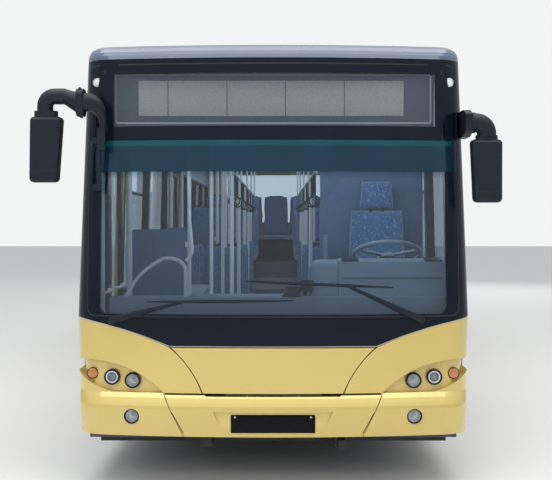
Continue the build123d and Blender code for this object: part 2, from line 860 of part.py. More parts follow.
with BuildPart() as rear_lamps:
    for side in [1, -1]:
        for z, radius in rear_lamp_table:
            lamp_y = rear_y - tail_setback(z) - tail_bow + math.sqrt(tail_bow**2 - rear_lamp_x**2)
            with BuildSketch(Plane.XZ.offset(-(lamp_y + 6))):
                with Locations((side * rear_lamp_x, z)):
                    Circle(radius)
            extrude(amount=tail_skin + 40)
rear_lamps.part.label = "rear_lamps"
export_step(rear_lamps.part, "parts/rear_lamps.step")

with BuildPart() as engine_lid:
    add(tail_shell(0, lid_skin))
    with BuildSketch(rear_view) as lid_outline:
        with Locations((0, (lid_bottom + seam + lid_top - lid_top_gap) / 2)):
            RectangleRounded(2 * lid_half, lid_top - lid_top_gap - lid_bottom - seam, 36)
    extrude(amount=rear_depth, mode=Mode.INTERSECT)
    for x in [-lid_hinge_x, lid_hinge_x]:
        with Locations((x, lid_hinge_y, lid_hinge_z)):
            Box(lid_lug_width + 2 * hinge_side_gap, 100, 44, mode=Mode.SUBTRACT)
        with Locations(Location((x, lid_hinge_y, lid_hinge_z), (0, 90, 0))):
            Cylinder(lid_pin_radius + running_clearance, lid_pin_length + 4, mode=Mode.SUBTRACT)
engine_lid.part.label = "engine_lid"
export_step(engine_lid.part, "parts/engine_lid.step")

# Floor, wheelhouses and underframe

side_view = Plane.YZ.offset(-floor_half)
with BuildPart() as floor:
    with BuildSketch(side_view) as floor_profile:
        with BuildLine():
            Polyline(
                (floor_front_y, floor_height),
                (step_y, floor_height),
                (step_y, step_height),
                (deck_y, step_height),
                (deck_y, deck_height),
                (podium_y, deck_height),
                (podium_y, podium_height),
                (floor_rear_y, podium_height),
                (floor_rear_y, podium_height - floor_thickness),
                (podium_y + floor_thickness, podium_height - floor_thickness),
                (podium_y + floor_thickness, deck_height - floor_thickness),
                (deck_y + floor_thickness, deck_height - floor_thickness),
                (deck_y + floor_thickness, step_height - floor_thickness),
                (step_y + floor_thickness, step_height - floor_thickness),
                (step_y + floor_thickness, floor_height - floor_thickness),
                (floor_front_y, floor_height - floor_thickness),
                close=True,
            )
        make_face()
    extrude(amount=2 * floor_half)
    for side in [1, -1]:
        for axle_y, inner_x, half in [
            (front_axle_y, front_wheelhouse_x, front_wheelhouse_half),
            (rear_axle_y, rear_wheelhouse_x, rear_wheelhouse_half),
        ]:
            with Locations((side * (inner_x + 500), axle_y, 600)):
                Box(1000, 2 * half, 1200, mode=Mode.SUBTRACT)
    # Thresholds that carry the floor out under the door leaves
    for doorway_y in [front_doorway_y, middle_doorway_y]:
        with Locations((-(floor_half + 26), doorway_y + doorway_width / 2, floor_height - floor_thickness / 2)):
            Box(52, doorway_width - 2 * seam, floor_thickness)
floor.part.label = "floor"
export_step(floor.part, "parts/floor.step")

with BuildPart() as wheelhouses:
    for side in [1, -1]:
        for axle_y, inner_x, half, bottom in [
            (front_axle_y, front_wheelhouse_x, front_wheelhouse_half, floor_height - floor_thickness),
            (rear_axle_y, rear_wheelhouse_x, rear_wheelhouse_half, deck_height - floor_thickness),
        ]:
            outer_x = half_width(skirt_height) - wall - 2.0
            centre = (side * (inner_x + outer_x) / 2, axle_y, (bottom + wheelhouse_top) / 2)
            with Locations(centre):
                Box(outer_x - inner_x, 2 * half, wheelhouse_top - bottom)
            with Locations((side * (inner_x + wheelhouse_skin + 500), axle_y, centre[2] - wheelhouse_skin)):
                Box(
                    1000,
                    2 * (half - wheelhouse_skin),
                    wheelhouse_top - bottom,
                    mode=Mode.SUBTRACT,
                )
wheelhouses.part.label = "wheelhouses"
export_step(wheelhouses.part, "parts/wheelhouses.step")

rail_top = floor_height - floor_thickness
high_rail_top = deck_height - floor_thickness
rise_y = deck_y + floor_thickness
rise_length = 60.0
high_rail_rear_y = rear_y - 195.0
pad_table = [(pad_front_y, rail_top - rail_depth), (pad_middle_y, rail_top - rail_depth)]
rail_front_end_y = floor_front_y
member_half = floor_half - 40.0
member_width = 60.0
low_member_y = [
    front_y + 475.0,
    front_axle_y - 1025.0,
    front_axle_y + 875.0,
    middle_doorway_y - 38.0,
    middle_doorway_y + 1262.0,
]
high_member_y = [rear_axle_y + 1000.0, rear_y - 275.0]
rail_side = rail_width / 2 + seat_gap
with BuildPart() as underframe:
    for side in [1, -1]:
        # Low rail, riser and high rail, butted end to end
        with Locations((side * rail_x, (rail_front_end_y + rise_y - seat_gap) / 2, rail_top - rail_depth / 2)):
            Box(rail_width, rise_y - seat_gap - rail_front_end_y, rail_depth)
        with Locations((side * rail_x, rise_y + rise_length / 2, (rail_top - rail_depth + high_rail_top) / 2)):
            Box(rail_width, rise_length, high_rail_top - rail_top + rail_depth)
        high_rail_front_y = rise_y + rise_length + seat_gap
        with Locations((side * rail_x, (high_rail_front_y + high_rail_rear_y) / 2, high_rail_top - rail_depth / 2)):
            Box(rail_width, high_rail_rear_y - high_rail_front_y, rail_depth)
        for y, bottom in pad_table:
            with Locations((side * rail_x, y, bottom - pad_height / 2)):
                Cylinder(pad_radius, pad_height)
    # Cross members: one between the rails and an outrigger on each side
    for places, top in [(low_member_y, rail_top), (high_member_y, high_rail_top)]:
        for y in places:
            with Locations((0, y, top - rail_depth / 2)):
                Box(2 * (rail_x - rail_side), member_width, rail_depth)
            for side in [1, -1]:
                with Locations((side * (rail_x + rail_side + member_half) / 2, y, top - rail_depth / 2)):
                    Box(member_half - rail_x - rail_side, member_width, rail_depth)
    # Towing eye ahead of the driver's side rail, with its bore across the vehicle
    eye_front_y = towing_y - towing_eye / 2
    with Locations((rail_x, (eye_front_y + floor_front_y - seat_gap) / 2, rail_top - rail_depth / 2)):
        Box(towing_width, floor_front_y - seat_gap - eye_front_y, rail_depth)
    with Locations(Location((rail_x, towing_y, rail_top - rail_depth / 2), (0, 90, 0))):
        Cylinder(towing_bore, 60, mode=Mode.SUBTRACT)
underframe.part.label = "underframe"
export_step(underframe.part, "parts/underframe.step")

with BuildPart() as engine_block:
    with Locations((0, rear_y - 875.0, 640)):
        Box(780, 1080, 520)
engine_block.part.label = "engine_block"
export_step(engine_block.part, "parts/engine_block.step")

# Running gear

axle_eye_height = 90.0
knuckle_lug_height = 34.0
lug_gap = 1.0
beam_depth = 80.0
beam_top = rail_top - rail_depth - 10.0
with BuildPart() as axles:
    with Locations((0, front_axle_y, beam_top - beam_depth / 2)):
        Box(2 * 860, 120, beam_depth)
    for side in [1, -1]:
        with Locations((side * 835, front_axle_y, (beam_top - beam_depth + tyre_radius + axle_eye_height / 2) / 2)):
            Box(80, 70, tyre_radius + axle_eye_height / 2 - beam_top + beam_depth)
        with Locations((side * 910, front_axle_y, tyre_radius)):
            Box(124, 90, axle_eye_height)
        with Locations((side * kingpin_x, front_axle_y, tyre_radius)):
            Cylinder(48, axle_eye_height)
            Cylinder(kingpin_radius, axle_eye_height + 2 * knuckle_lug_height + 2 * lug_gap + 10)
        # Bump stops tie the beam to the rails over it
        with Locations((side * rail_x, front_axle_y, beam_top + 5)):
            Box(70, 100, 10)
    # Rear axle tube, its final drive and the wheel spindles
    with Locations(Location((0, rear_axle_y, tyre_radius), (0, 90, 0))):
        Cylinder(90, 2 * 560)
        Cylinder(stub_radius, 2 * (wheel_x + 60))
        Cylinder(70, 2 * 720)
    with Locations((0, rear_axle_y, tyre_radius)):
        Sphere(190)
    for side in [1, -1]:
        with Locations((side * rail_x, rear_axle_y, (tyre_radius + high_rail_top - rail_depth) / 2)):
            Box(70, 110, high_rail_top - rail_depth - tyre_radius)
axles.part.label = "axles"
export_step(axles.part, "parts/axles.step")


def make_knuckle(side):
    """Fork round the axle's eye, with the stub that the wheel turns on and the track arm behind."""
    lug_centre = tyre_radius + axle_eye_height / 2 + lug_gap + knuckle_lug_height / 2
    with BuildPart() as knuckle:
        for z in [lug_centre, 2 * tyre_radius - lug_centre]:
            with Locations((side * kingpin_x, front_axle_y, z)):
                Cylinder(46, knuckle_lug_height)
            with Locations((side * (kingpin_x + 35), front_axle_y, z)):
                Box(70, 80, knuckle_lug_height)
        with Locations((side * (kingpin_x + 62), front_axle_y, tyre_radius)):
            Box(20, 110, axle_eye_height + 2 * knuckle_lug_height + 2 * lug_gap)
        with Locations(Location((side * (kingpin_x + 115), front_axle_y, tyre_radius), (0, 90, 0))):
            Cylinder(stub_radius, 130)
        arm_z = 2 * tyre_radius - lug_centre
        with Locations((side * (kingpin_x + 30), front_axle_y + 130, arm_z)):
            Box(36, 220, 24)
        with Locations((side * kingpin_x, front_axle_y, tyre_radius)):
            Cylinder(kingpin_radius + running_clearance, 400, mode=Mode.SUBTRACT)
    return knuckle.part


knuckle_left_part = make_knuckle(1)
knuckle_left_part.label = "knuckle_left"
export_step(knuckle_left_part, "parts/knuckle_left.step")
knuckle_right_part = make_knuckle(-1)
knuckle_right_part.label = "knuckle_right"
export_step(knuckle_right_part, "parts/knuckle_right.step")


def radial_plane(x, y):
    """Plane through a wheel's centre, with its local x across the vehicle and its local y outwards."""
    return Plane(origin=(x, y, tyre_radius), x_dir=(1, 0, 0), z_dir=(0, -1, 0))


def make_tyre(x_list, y):
    """Tyres with rounded shoulders and slanted beads, one for each place across the vehicle."""
    half = tyre_width / 2
    tread_half = half - 22.0
    with BuildPart() as tyre:
        for x in x_list:
            with BuildSketch(radial_plane(x, y)):
                with BuildLine():
                    Line((-100, rim_radius), (100, rim_radius))
                    ThreePointArc((100, rim_radius), (half, 385), (half - 12, 446))
                    Polyline((half - 12, 446), (half - 15, 464), (tread_half, tyre_radius - 3), (tread_half - 30, tyre_radius))
                    Line((tread_half - 30, tyre_radius), (30 - tread_half, tyre_radius))
                    Polyline(
                        (30 - tread_half, tyre_radius), (-tread_half, tyre_radius - 3), (15 - half, 464), (12 - half, 446)
                    )
                    ThreePointArc((-half + 12, 446), (-half, 385), (-100, rim_radius))
                make_face()
            revolve(axis=Axis((x, y, tyre_radius), (1, 0, 0)))
    return tyre.part


def make_rim(x_list, y, side, outward):
    """Steel rim with a drop centre and a dished disc with hand holes, on a hub that runs on the spindle."""
    with BuildPart() as rim:
        for x, dish in zip(x_list, outward):
            d = side * dish
            with BuildSketch(radial_plane(x, y)):
                with BuildLine():
                    Polyline(
                        (-100, rim_radius),
                        (100, rim_radius),
                        (100, rim_radius - 12),
                        (70, rim_radius - 30),
                        (-70, rim_radius - 30),
                        (-100, rim_radius - 12),
                        close=True,
                    )
                make_face()
            revolve(axis=Axis((x, y, tyre_radius), (1, 0, 0)))
            with BuildSketch(radial_plane(x, y)):
                with BuildLine():
                    Polyline(
                        (d * 20, rim_radius - 25),
                        (d * 70, 190),
                        (d * 70, 120),
                        (d * 84, 120),
                        (d * 84, 195),
                        (d * 34, rim_radius - 25),
                        close=True,
                    )
                make_face()
            revolve(axis=Axis((x, y, tyre_radius), (1, 0, 0)))
            with Locations(Location((x + d * 52, y, tyre_radius), (0, 90, 0))):
                with PolarLocations(hand_hole_circle, hand_hole_count):
                    Cylinder(hand_hole_radius, 76, mode=Mode.SUBTRACT)
            with BuildSketch(radial_plane(x, y)):
                with BuildLine():
                    Polyline(
                        (-d * 20, stub_radius + running_clearance),
                        (-d * 20, 95),
                        (d * 70, 130),
                        (d * 84, 130),
                        (d * 100, 90),
                        (d * 100, stub_radius + running_clearance),
                        close=True,
                    )
                make_face()
            revolve(axis=Axis((x, y, tyre_radius), (1, 0, 0)))
    return rim.part


wheel_table = [
    ("front_left", 1, front_axle_y, [wheel_x], [1]),
    ("front_right", -1, front_axle_y, [wheel_x], [1]),
    ("rear_left", 1, rear_axle_y, [wheel_x, wheel_x - twin_pitch], [-1, 1]),
    ("rear_right", -1, rear_axle_y, [wheel_x, wheel_x - twin_pitch], [-1, 1]),
]
for name, side, y, places, dishes in wheel_table:
    tyre_part = make_tyre([side * x for x in places], y)
    tyre_part.label = "tyre_" + name
    export_step(tyre_part, "parts/tyre_" + name + ".step")
    rim_part = make_rim([side * x for x in places], y, side, dishes)
    rim_part.label = "rim_" + name
    export_step(rim_part, "parts/rim_" + name + ".step")

# Doors: each leaf hangs on two arms of a turning post, and its top roller runs in the header's slot

guide_x = -(door_plane - door_guide_depth)
post_bottom = floor_height
lower_arm_z = floor_height + arm_gap + arm_thickness / 2
upper_arm_z = leaf_top + arm_gap + arm_thickness / 2 + arm_gap
leaf_start = post_set_back + door_jamb_gap
leaf_end = post_set_back + doorway_width / 2 - door_gap
door_leaf_table = [
    ("front_door_front", front_doorway_y - post_set_back, 1),
    ("front_door_rear", front_doorway_y + doorway_width + post_set_back, -1),
    ("middle_door_front", middle_doorway_y - post_set_back, 1),
    ("middle_door_rear", middle_doorway_y + doorway_width + post_set_back, -1),
]
bracket_half = 14.0
bracket_thickness = 12.0
for name, post_y, way in door_leaf_table:
    arm_y = post_y + way * door_arm
    roller_y = post_y + way * 2 * door_arm
    with BuildPart() as door_post:
        with BuildSketch(Plane.XY.offset(post_bottom + seat_gap)) as post_foot:
            with Locations((guide_x, post_y)):
                Circle(post_radius)
        extrude(amount=header_bottom - post_bottom - 2 * seat_gap)
        for z in [lower_arm_z, upper_arm_z]:
            with BuildSketch(Plane.XY.offset(z - arm_thickness / 2)) as arm_outline:
                with Locations((guide_x, (post_y + arm_y) / 2)):
                    Rectangle(2 * arm_half_width, door_arm)
                with Locations((guide_x, arm_y)):
                    Circle(arm_half_width)
            extrude(amount=arm_thickness)
        # Pins that reach from the arms into the leaf's brackets
        with BuildSketch(Plane.XY.offset(lower_arm_z)):
            with Locations((guide_x, arm_y)):
                Circle(door_pin_radius)
        extrude(amount=arm_thickness / 2 + 2 + 2 * bracket_thickness)
        with BuildSketch(Plane.XY.offset(upper_arm_z)):
            with Locations((guide_x, arm_y)):
                Circle(door_pin_radius)
        extrude(amount=-(arm_thickness / 2 + 2 * arm_gap + bracket_thickness + 4))
    door_post.part.label = name + "_post"
    export_step(door_post.part, "parts/" + name + "_post.step")

    leaf_middle_y = post_y + way * (leaf_start + leaf_end) / 2
    leaf_width = leaf_end - leaf_start
    leaf_middle_x = -(door_plane - leaf_thickness / 2)
    bracket_reach = door_guide_depth - leaf_thickness + 14.0
    with BuildPart() as door_leaf:
        with BuildSketch(Plane.YZ.offset(-door_plane)) as leaf_outline:
            with Locations((leaf_middle_y, (leaf_bottom + leaf_top) / 2)):
                Rectangle(leaf_width, leaf_top - leaf_bottom)
                Rectangle(leaf_width - 2 * leaf_border, leaf_top - leaf_bottom - 2 * leaf_border, mode=Mode.SUBTRACT)
        extrude(amount=leaf_thickness)
        # Brackets at the foot and head, bored for the arm pins
        for z in [leaf_bottom + bracket_thickness / 2, leaf_top - bracket_thickness / 2]:
            with Locations((-(door_plane - leaf_thickness - bracket_reach / 2), arm_y, z)):
                Box(bracket_reach, 2 * bracket_half, bracket_thickness)
            with Locations((guide_x, arm_y, z)):
                Cylinder(door_pin_radius + running_clearance, 40, mode=Mode.SUBTRACT)
        with Locations((-(door_plane - leaf_thickness - bracket_reach / 2), roller_y, leaf_top - bracket_thickness / 2)):
            Box(bracket_reach, 2 * bracket_half, bracket_thickness)
        with BuildSketch(Plane.XY.offset(leaf_top)) as roller:
            with Locations((guide_x, roller_y)):
                Circle(roller_radius)
        extrude(amount=header_bottom - leaf_top + 20)
    door_leaf.part.label = name + "_leaf"
    export_step(door_leaf.part, "parts/" + name + "_leaf.step")

    with BuildPart() as door_glass:
        with Locations((-(door_plane - leaf_glass / 2 - 4), leaf_middle_y, (leaf_bottom + leaf_top) / 2)):
            Box(leaf_glass, leaf_width - 2 * leaf_border, leaf_top - leaf_bottom - 2 * leaf_border)
    door_glass.part.label = name + "_glass"
    export_step(door_glass.part, "parts/" + name + "_glass.step")

header_outer_x = -(half_width(header_bottom + header_height) - wall - 0.3)
header_inner_x = guide_x + 34.0
header_overhang = post_set_back + post_radius + 12.0
with BuildPart() as door_headers:
    for doorway_y in [front_doorway_y, middle_doorway_y]:
        middle_y = doorway_y + doorway_width / 2
        with Locations(((header_outer_x + header_inner_x) / 2, middle_y, header_bottom + header_height / 2)):
            Box(header_inner_x - header_outer_x, doorway_width + 2 * header_overhang, header_height)
        with Locations((guide_x, middle_y, header_bottom)):
            Box(2 * (roller_radius + 1), doorway_width - 60, 50, mode=Mode.SUBTRACT)
door_headers.part.label = "door_headers"
export_step(door_headers.part, "parts/door_headers.step")

# Cab

dash_y = front_y + 275.0
dash_top = 1180.0
dash_kerb_x = -1040.0
dash_deep_x = -500.0
dash_driver_x = 1120.0
with BuildPart() as dashboard:
    with BuildSketch(Plane.YZ.offset(dash_deep_x)) as dash_profile:
        with BuildLine():
            Polyline(
                (dash_y, 1060),
                (dash_y, dash_top),
                (dash_y + 180, dash_top + 10),
                (dash_y + 230, 1080),
                (dash_y + 150, 1045),
                close=True,
            )
        make_face()
    extrude(amount=dash_driver_x - dash_deep_x)
    # A shallow shelf ahead of the door, clear of its open leaf
    with BuildSketch(Plane.YZ.offset(dash_kerb_x)) as shelf_profile:
        with BuildLine():
            Polyline(
                (dash_y, 1060),
                (dash_y, dash_top),
                (dash_y + 90, dash_top + 5),
                (dash_y + 90, 1070),
                close=True,
            )
        make_face()
    extrude(amount=dash_deep_x - dash_kerb_x)
    with BuildSketch(Plane.YZ.offset(420)) as binnacle_profile:
        with BuildLine():
            Polyline(
                (dash_y + 60, dash_top),
                (dash_y + 120, 1400),
                (dash_y + 260, 1420),
                (dash_y + 380, 1160),
                (dash_y + 300, 1080),
                close=True,
            )
        make_face()
    extrude(amount=700)
    with Locations((770, dash_y + 160, 720)):
        Box(500, 180, 760)
dashboard.part.label = "dashboard"
export_step(dashboard.part, "parts/dashboard.step")

steering_x = 770.0
steering_plane = Plane(origin=(steering_x, front_y + 725.0, 1440.0), x_dir=(1, 0, 0), z_dir=(0, 0.42, 1))
with BuildPart() as steering_wheel:
    with BuildSketch(Plane(origin=steering_plane.origin, x_dir=steering_plane.x_dir, z_dir=-steering_plane.y_dir)):
        with Locations((225, 0)):
            Circle(15)
    revolve(axis=Axis(steering_plane.origin, steering_plane.z_dir))
    with BuildSketch(steering_plane.offset(-30)):
        Circle(55)
    extrude(amount=24)
    for angle in [90, 210, 330]:
        with BuildSketch(steering_plane.offset(-20)):
            with Locations(Location((120 * math.cos(math.radians(angle)), 120 * math.sin(math.radians(angle)), 0), (0, 0, angle))):
                Rectangle(190, 28)
        extrude(amount=14)
    with BuildSketch(steering_plane.offset(-30)):
        Circle(32)
    extrude(amount=-300)
    add(dashboard.part, mode=Mode.SUBTRACT)
steering_wheel.part.label = "steering_wheel"
export_step(steering_wheel.part, "parts/steering_wheel.step")

driver_x = 780.0
driver_floor = 560.0
driver_cushion_rear_y = front_y + 1495.0
driver_cushion_length = 500.0
driver_cushion_top = 1060.0
driver_cushion_bottom = 950.0
driver_back_top = 1750.0
with BuildPart() as driver_seat:
    with BuildSketch(Plane.YZ.offset(driver_x - 240)) as driver_cushion:
        with BuildLine():
            Polyline(
                (driver_cushion_rear_y - driver_cushion_length, driver_cushion_bottom),
                (driver_cushion_rear_y, driver_cushion_bottom),
                (driver_cushion_rear_y, driver_cushion_top - 20),
                (driver_cushion_rear_y - driver_cushion_length, driver_cushion_top),
                close=True,
            )
        make_face()
    extrude(amount=480)
    with BuildSketch(Plane.YZ.offset(driver_x - 235)) as driver_back:
        with BuildLine():
            Polyline(
                (driver_cushion_rear_y + seat_gap, driver_cushion_bottom),
                (driver_cushion_rear_y + 90, driver_cushion_bottom),
                (driver_cushion_rear_y + 130, driver_back_top),
                (driver_cushion_rear_y + 50, driver_back_top),
                close=True,
            )
        make_face()
    extrude(amount=470)
    with Locations((driver_x, driver_cushion_rear_y + 90, driver_back_top + seat_gap + 110)):
        Box(260, 80, 220)
    with Locations((driver_x, driver_cushion_rear_y - 250, (driver_floor + driver_cushion_bottom - seat_gap) / 2)):
        Box(300, 300, driver_cushion_bottom - seat_gap - driver_floor)
driver_seat.part.label = "driver_seat"
export_step(driver_seat.part, "parts/driver_seat.step")

# Cab platform with the partition behind and beside the driver
with BuildPart() as cab_partition:
    with Locations((760, front_y + 1215, (floor_height + driver_floor) / 2)):
        Box(800, 1300, driver_floor - floor_height)
    with Locations((760, front_y + 1845, 1250)):
        Box(800, 30, 1820)
    with Locations((370, front_y + 1475, 950)):
        Box(30, 740, 1220)
cab_partition.part.label = "cab_partition"
export_step(cab_partition.part, "parts/cab_partition.step")

# Saloon seats in rows: centre x, front y, floor height, seats side by side
row_pitch = 715.0
row_x = 710.0
deck_row_y = deck_y + 110.0
deck_row_count = int((podium_y - deck_row_y - 580.0) / row_pitch) + 1
row_places = [
    (front_axle_y + 715.0, floor_height),
    (front_axle_y + 1435.0, floor_height),
    (middle_doorway_y + 1382.0, floor_height),
    *[(deck_row_y + i * row_pitch, deck_height) for i in range(deck_row_count)],
    (podium_y + 90.0, podium_height),
]
seat_rows = [(side * row_x, y, base, 2) for y, base in row_places for side in [1, -1]]
seat_rows.append((0.0, podium_y + 800.0, podium_height, 5))
cushion_slope = 20.0
back_lean = 90.0
stand_depth = 260.0
with BuildPart() as passenger_seats:
    for x, y, base, count in seat_rows:
        width = count * seat_pitch_x - 20 if count < 5 else count * seat_width
        top = base + seat_height
        under = top - cushion_thickness
        rear = y + seat_depth
        with BuildSketch(Plane.YZ.offset(x - width / 2)) as pan:
            with BuildLine():
                Polyline((y, under), (rear, under - cushion_slope), (rear, top - cushion_slope), (y, top), close=True)
            make_face()
        extrude(amount=width)
        with BuildSketch(Plane.YZ.offset(x - width / 2)) as back:
            with BuildLine():
                Polyline(
                    (rear + seat_gap, under - cushion_slope),
                    (rear + back_thickness, under - cushion_slope),
                    (rear + back_thickness + back_lean, top + back_height),
                    (rear + back_lean, top + back_height),
                    close=True,
                )
            make_face()
        extrude(amount=width)
        stand_x = x if count > 2 else math.copysign(abs(x) - 270, x)
        stand_width = 240 if count < 5 else 1600
        stand_y = y + 90
        front_top = under - cushion_slope * (stand_y - y) / seat_depth - seat_gap
        rear_top = under - cushion_slope * (stand_y + stand_depth - y) / seat_depth - seat_gap
        with BuildSketch(Plane.YZ.offset(stand_x - stand_width / 2)) as stand:
            with BuildLine():
                Polyline(
                    (stand_y, base),
                    (stand_y + stand_depth, base),
                    (stand_y + stand_depth, rear_top),
                    (stand_y, front_top),
                    close=True,
                )
            make_face()
        extrude(amount=stand_width)
passenger_seats.part.label = "passenger_seats"
export_step(passenger_seats.part, "parts/passenger_seats.step")

# Handrails: upright poles from floor to ceiling and two rails along the roof
pole_radius = 17.0
rail_radius = 15.0
hanger_radius = 12.0
rail_height = 2050.0
rail_line_x = 330.0
rail_front_y = front_y + 1795.0
rail_rear_y = podium_y - 350.0
pole_rows = [
    (front_axle_y + 615.0, floor_height),
    (middle_doorway_y - 98.0, floor_height),
    (middle_doorway_y + 1302.0, floor_height),
    (deck_y + 55.0, deck_height),
]
pole_table = [(-rail_line_x, rail_front_y + 30, floor_height)]
pole_table += [(side * rail_line_x, y, base) for y, base in pole_rows for side in [-1, 1]]
hanger_count = 5
hanger_pitch = (rail_rear_y - rail_front_y - 280.0) / (hanger_count - 1)


def ceiling_height(x):
    """Height of the ceiling's shallow arch."""
    half = gutter_half - roof_skin - 103.0
    sag = crown_rise / 5
    arch = (half**2 + sag**2) / (2 * sag)
    return crown_height - roof_skin - arch + math.sqrt(arch**2 - x**2)


with BuildPart() as handrails:
    for x, y, base in pole_table:
        with BuildSketch(Plane.XY.offset(base)):
            with Locations((x, y)):
                Circle(pole_radius)
        extrude(amount=rail_height - rail_radius - seat_gap - base)
    for side in [1, -1]:
        with BuildSketch(Plane.XZ.offset(-rail_rear_y)):
            with Locations((side * rail_line_x, rail_height)):
                Circle(rail_radius)
        extrude(amount=rail_rear_y - rail_front_y)
        for y in [rail_front_y + 180.0 + i * hanger_pitch for i in range(hanger_count)]:
            hanger_foot = rail_height + rail_radius + seat_gap
            with BuildSketch(Plane.XY.offset(hanger_foot)):
                with Locations((side * rail_line_x, y)):
                    Circle(hanger_radius)
            extrude(amount=ceiling_height(rail_line_x + hanger_radius) - hanger_foot - seat_gap)
handrails.part.label = "handrails"
export_step(handrails.part, "parts/handrails.step")

# Wipers and mirrors
wiper_table = [
    ("kerb", (-1005.0, 1045.0), (-572.0, 1160.0), (-778.0, 1163.0), (125.0, 1173.0)),
    ("driver", (922.0, 1048.0), (454.0, 1265.0), (-164.0, 1292.0), (743.0, 1252.0)),
]
wiper_stand = 26.0
with BuildPart() as nose_body:
    loft([nose_plan(h, nose_setback(h)) for h in [bumper_top, waist_height, gutter_height]], ruled=True)
nose_form = nose_body.part
with BuildPart() as wipers:
    for name, hub, arm_end, blade_a, blade_b in wiper_table:
        for start, end, stand, thick, wide in [
            (hub, arm_end, wiper_stand, 10.0, 20.0),
            (blade_a, blade_b, wiper_stand - 9.0, 12.0, 12.0),
        ]:
            start_y = front_face_y(start[0], start[1]) - stand
            end_y = front_face_y(end[0], end[1]) - stand
            run = Vector(end[0] - start[0], end_y - start_y, end[1] - start[1])
            with BuildSketch(Plane(origin=(start[0], start_y, start[1]), x_dir=(0, -1, 0), z_dir=run)):
                Rectangle(thick, wide)
            extrude(amount=run.length)
        with BuildSketch(Plane.XZ.offset(-(front_face_y(hub[0], hub[1]) + 2))):
            with Locations(hub):
                Circle(22)
        extrude(amount=wiper_stand + 12)
    add(nose_form, mode=Mode.SUBTRACT)
wipers.part.label = "wipers"
export_step(wipers.part, "parts/wipers.step")


# Mirrors: thick cast elbows on brackets of the pillars, and the tapered housings that hang from them
mirror_y = front_y + 175.0
mirror_depth = 112.0
mirror_corner = 26.0
mirror_pane_rim = 11.0
mirror_pane_depth = 5.0
kerb_arm_z = 2403.0
kerb_elbow_z = 2443.0
kerb_elbow_radius = 50.0
kerb_bar_foot_z = 1855.0
driver_arm_z = 2278.0
driver_elbow_radius = 60.0
bracket_reach_back = 230.0
kerb_pillar_x = half_width(kerb_arm_z)
driver_pillar_x = half_width(driver_arm_z)
# housing: centre x, width and height of the top, then the same of the bottom
kerb_housing = ((-kerb_pillar_x - 201.0, 201.0, 2315.0), (-kerb_pillar_x - 219.0, 177.0, 1906.0))
driver_housing = ((driver_pillar_x + 115.0, 193.0, 2173.0), (driver_pillar_x + 125.0, 174.0, 1780.0))


def housing_plan(top, bottom, height, inset):
    """Plan of a mirror's housing at a height."""
    middle_x = between(height, bottom[2], top[2], bottom[0], top[0])
    width = between(height, bottom[2], top[2], bottom[1], top[1])
    with BuildSketch(Plane.XY.offset(height)) as plan:
        with Locations((middle_x, mirror_y)):
            RectangleRounded(width - 2 * inset, mirror_depth - 2 * inset, mirror_corner - inset / 2)
    return plan.sketch


def mirror_housing(top, bottom):
    """Housing with rounded ends, and a shallow seat for the pane on the driver's side."""
    rows = [
        (bottom[2], 20.0),
        (bottom[2] + 6.0, 8.0),
        (bottom[2] + 20.0, 0.0),
        (top[2] - 20.0, 0.0),
        (top[2] - 6.0, 8.0),
        (top[2], 20.0),
    ]
    edge = mirror_corner + mirror_pane_rim
    with BuildPart() as housing:
        loft([housing_plan(top, bottom, height, inset) for height, inset in rows], ruled=True)
        with BuildSketch(Plane.XZ.offset(-(mirror_y + mirror_depth / 2))) as pane_seat:
            with BuildLine():
                Polyline(
                    (bottom[0] - bottom[1] / 2 + edge, bottom[2] + edge),
                    (bottom[0] + bottom[1] / 2 - edge, bottom[2] + edge),
                    (top[0] + top[1] / 2 - edge, top[2] - edge),
                    (top[0] - top[1] / 2 + edge, top[2] - edge),
                    close=True,
                )
            make_face()
        extrude(amount=mirror_pane_depth, mode=Mode.SUBTRACT)
    return housing.part


def elbow(points, radius, bend):
    """Round tube along a bent line."""
    with BuildPart() as tube:
        with BuildLine() as route:
            FilletPolyline(*points, radius=bend)
        with BuildSketch(Plane(origin=route.line @ 0, z_dir=route.line % 0)):
            Circle(radius)
        sweep(path=route.line)
    return tube.part


def round_section(x, z, direction, radius):
    """Circle across a mirror's arm, at a place and direction in front elevation."""
    with BuildSketch(Plane(origin=(x, mirror_y, z), x_dir=(0, 1, 0), z_dir=(direction[0], 0, direction[1]))) as section:
        Circle(radius)
    return section.sketch


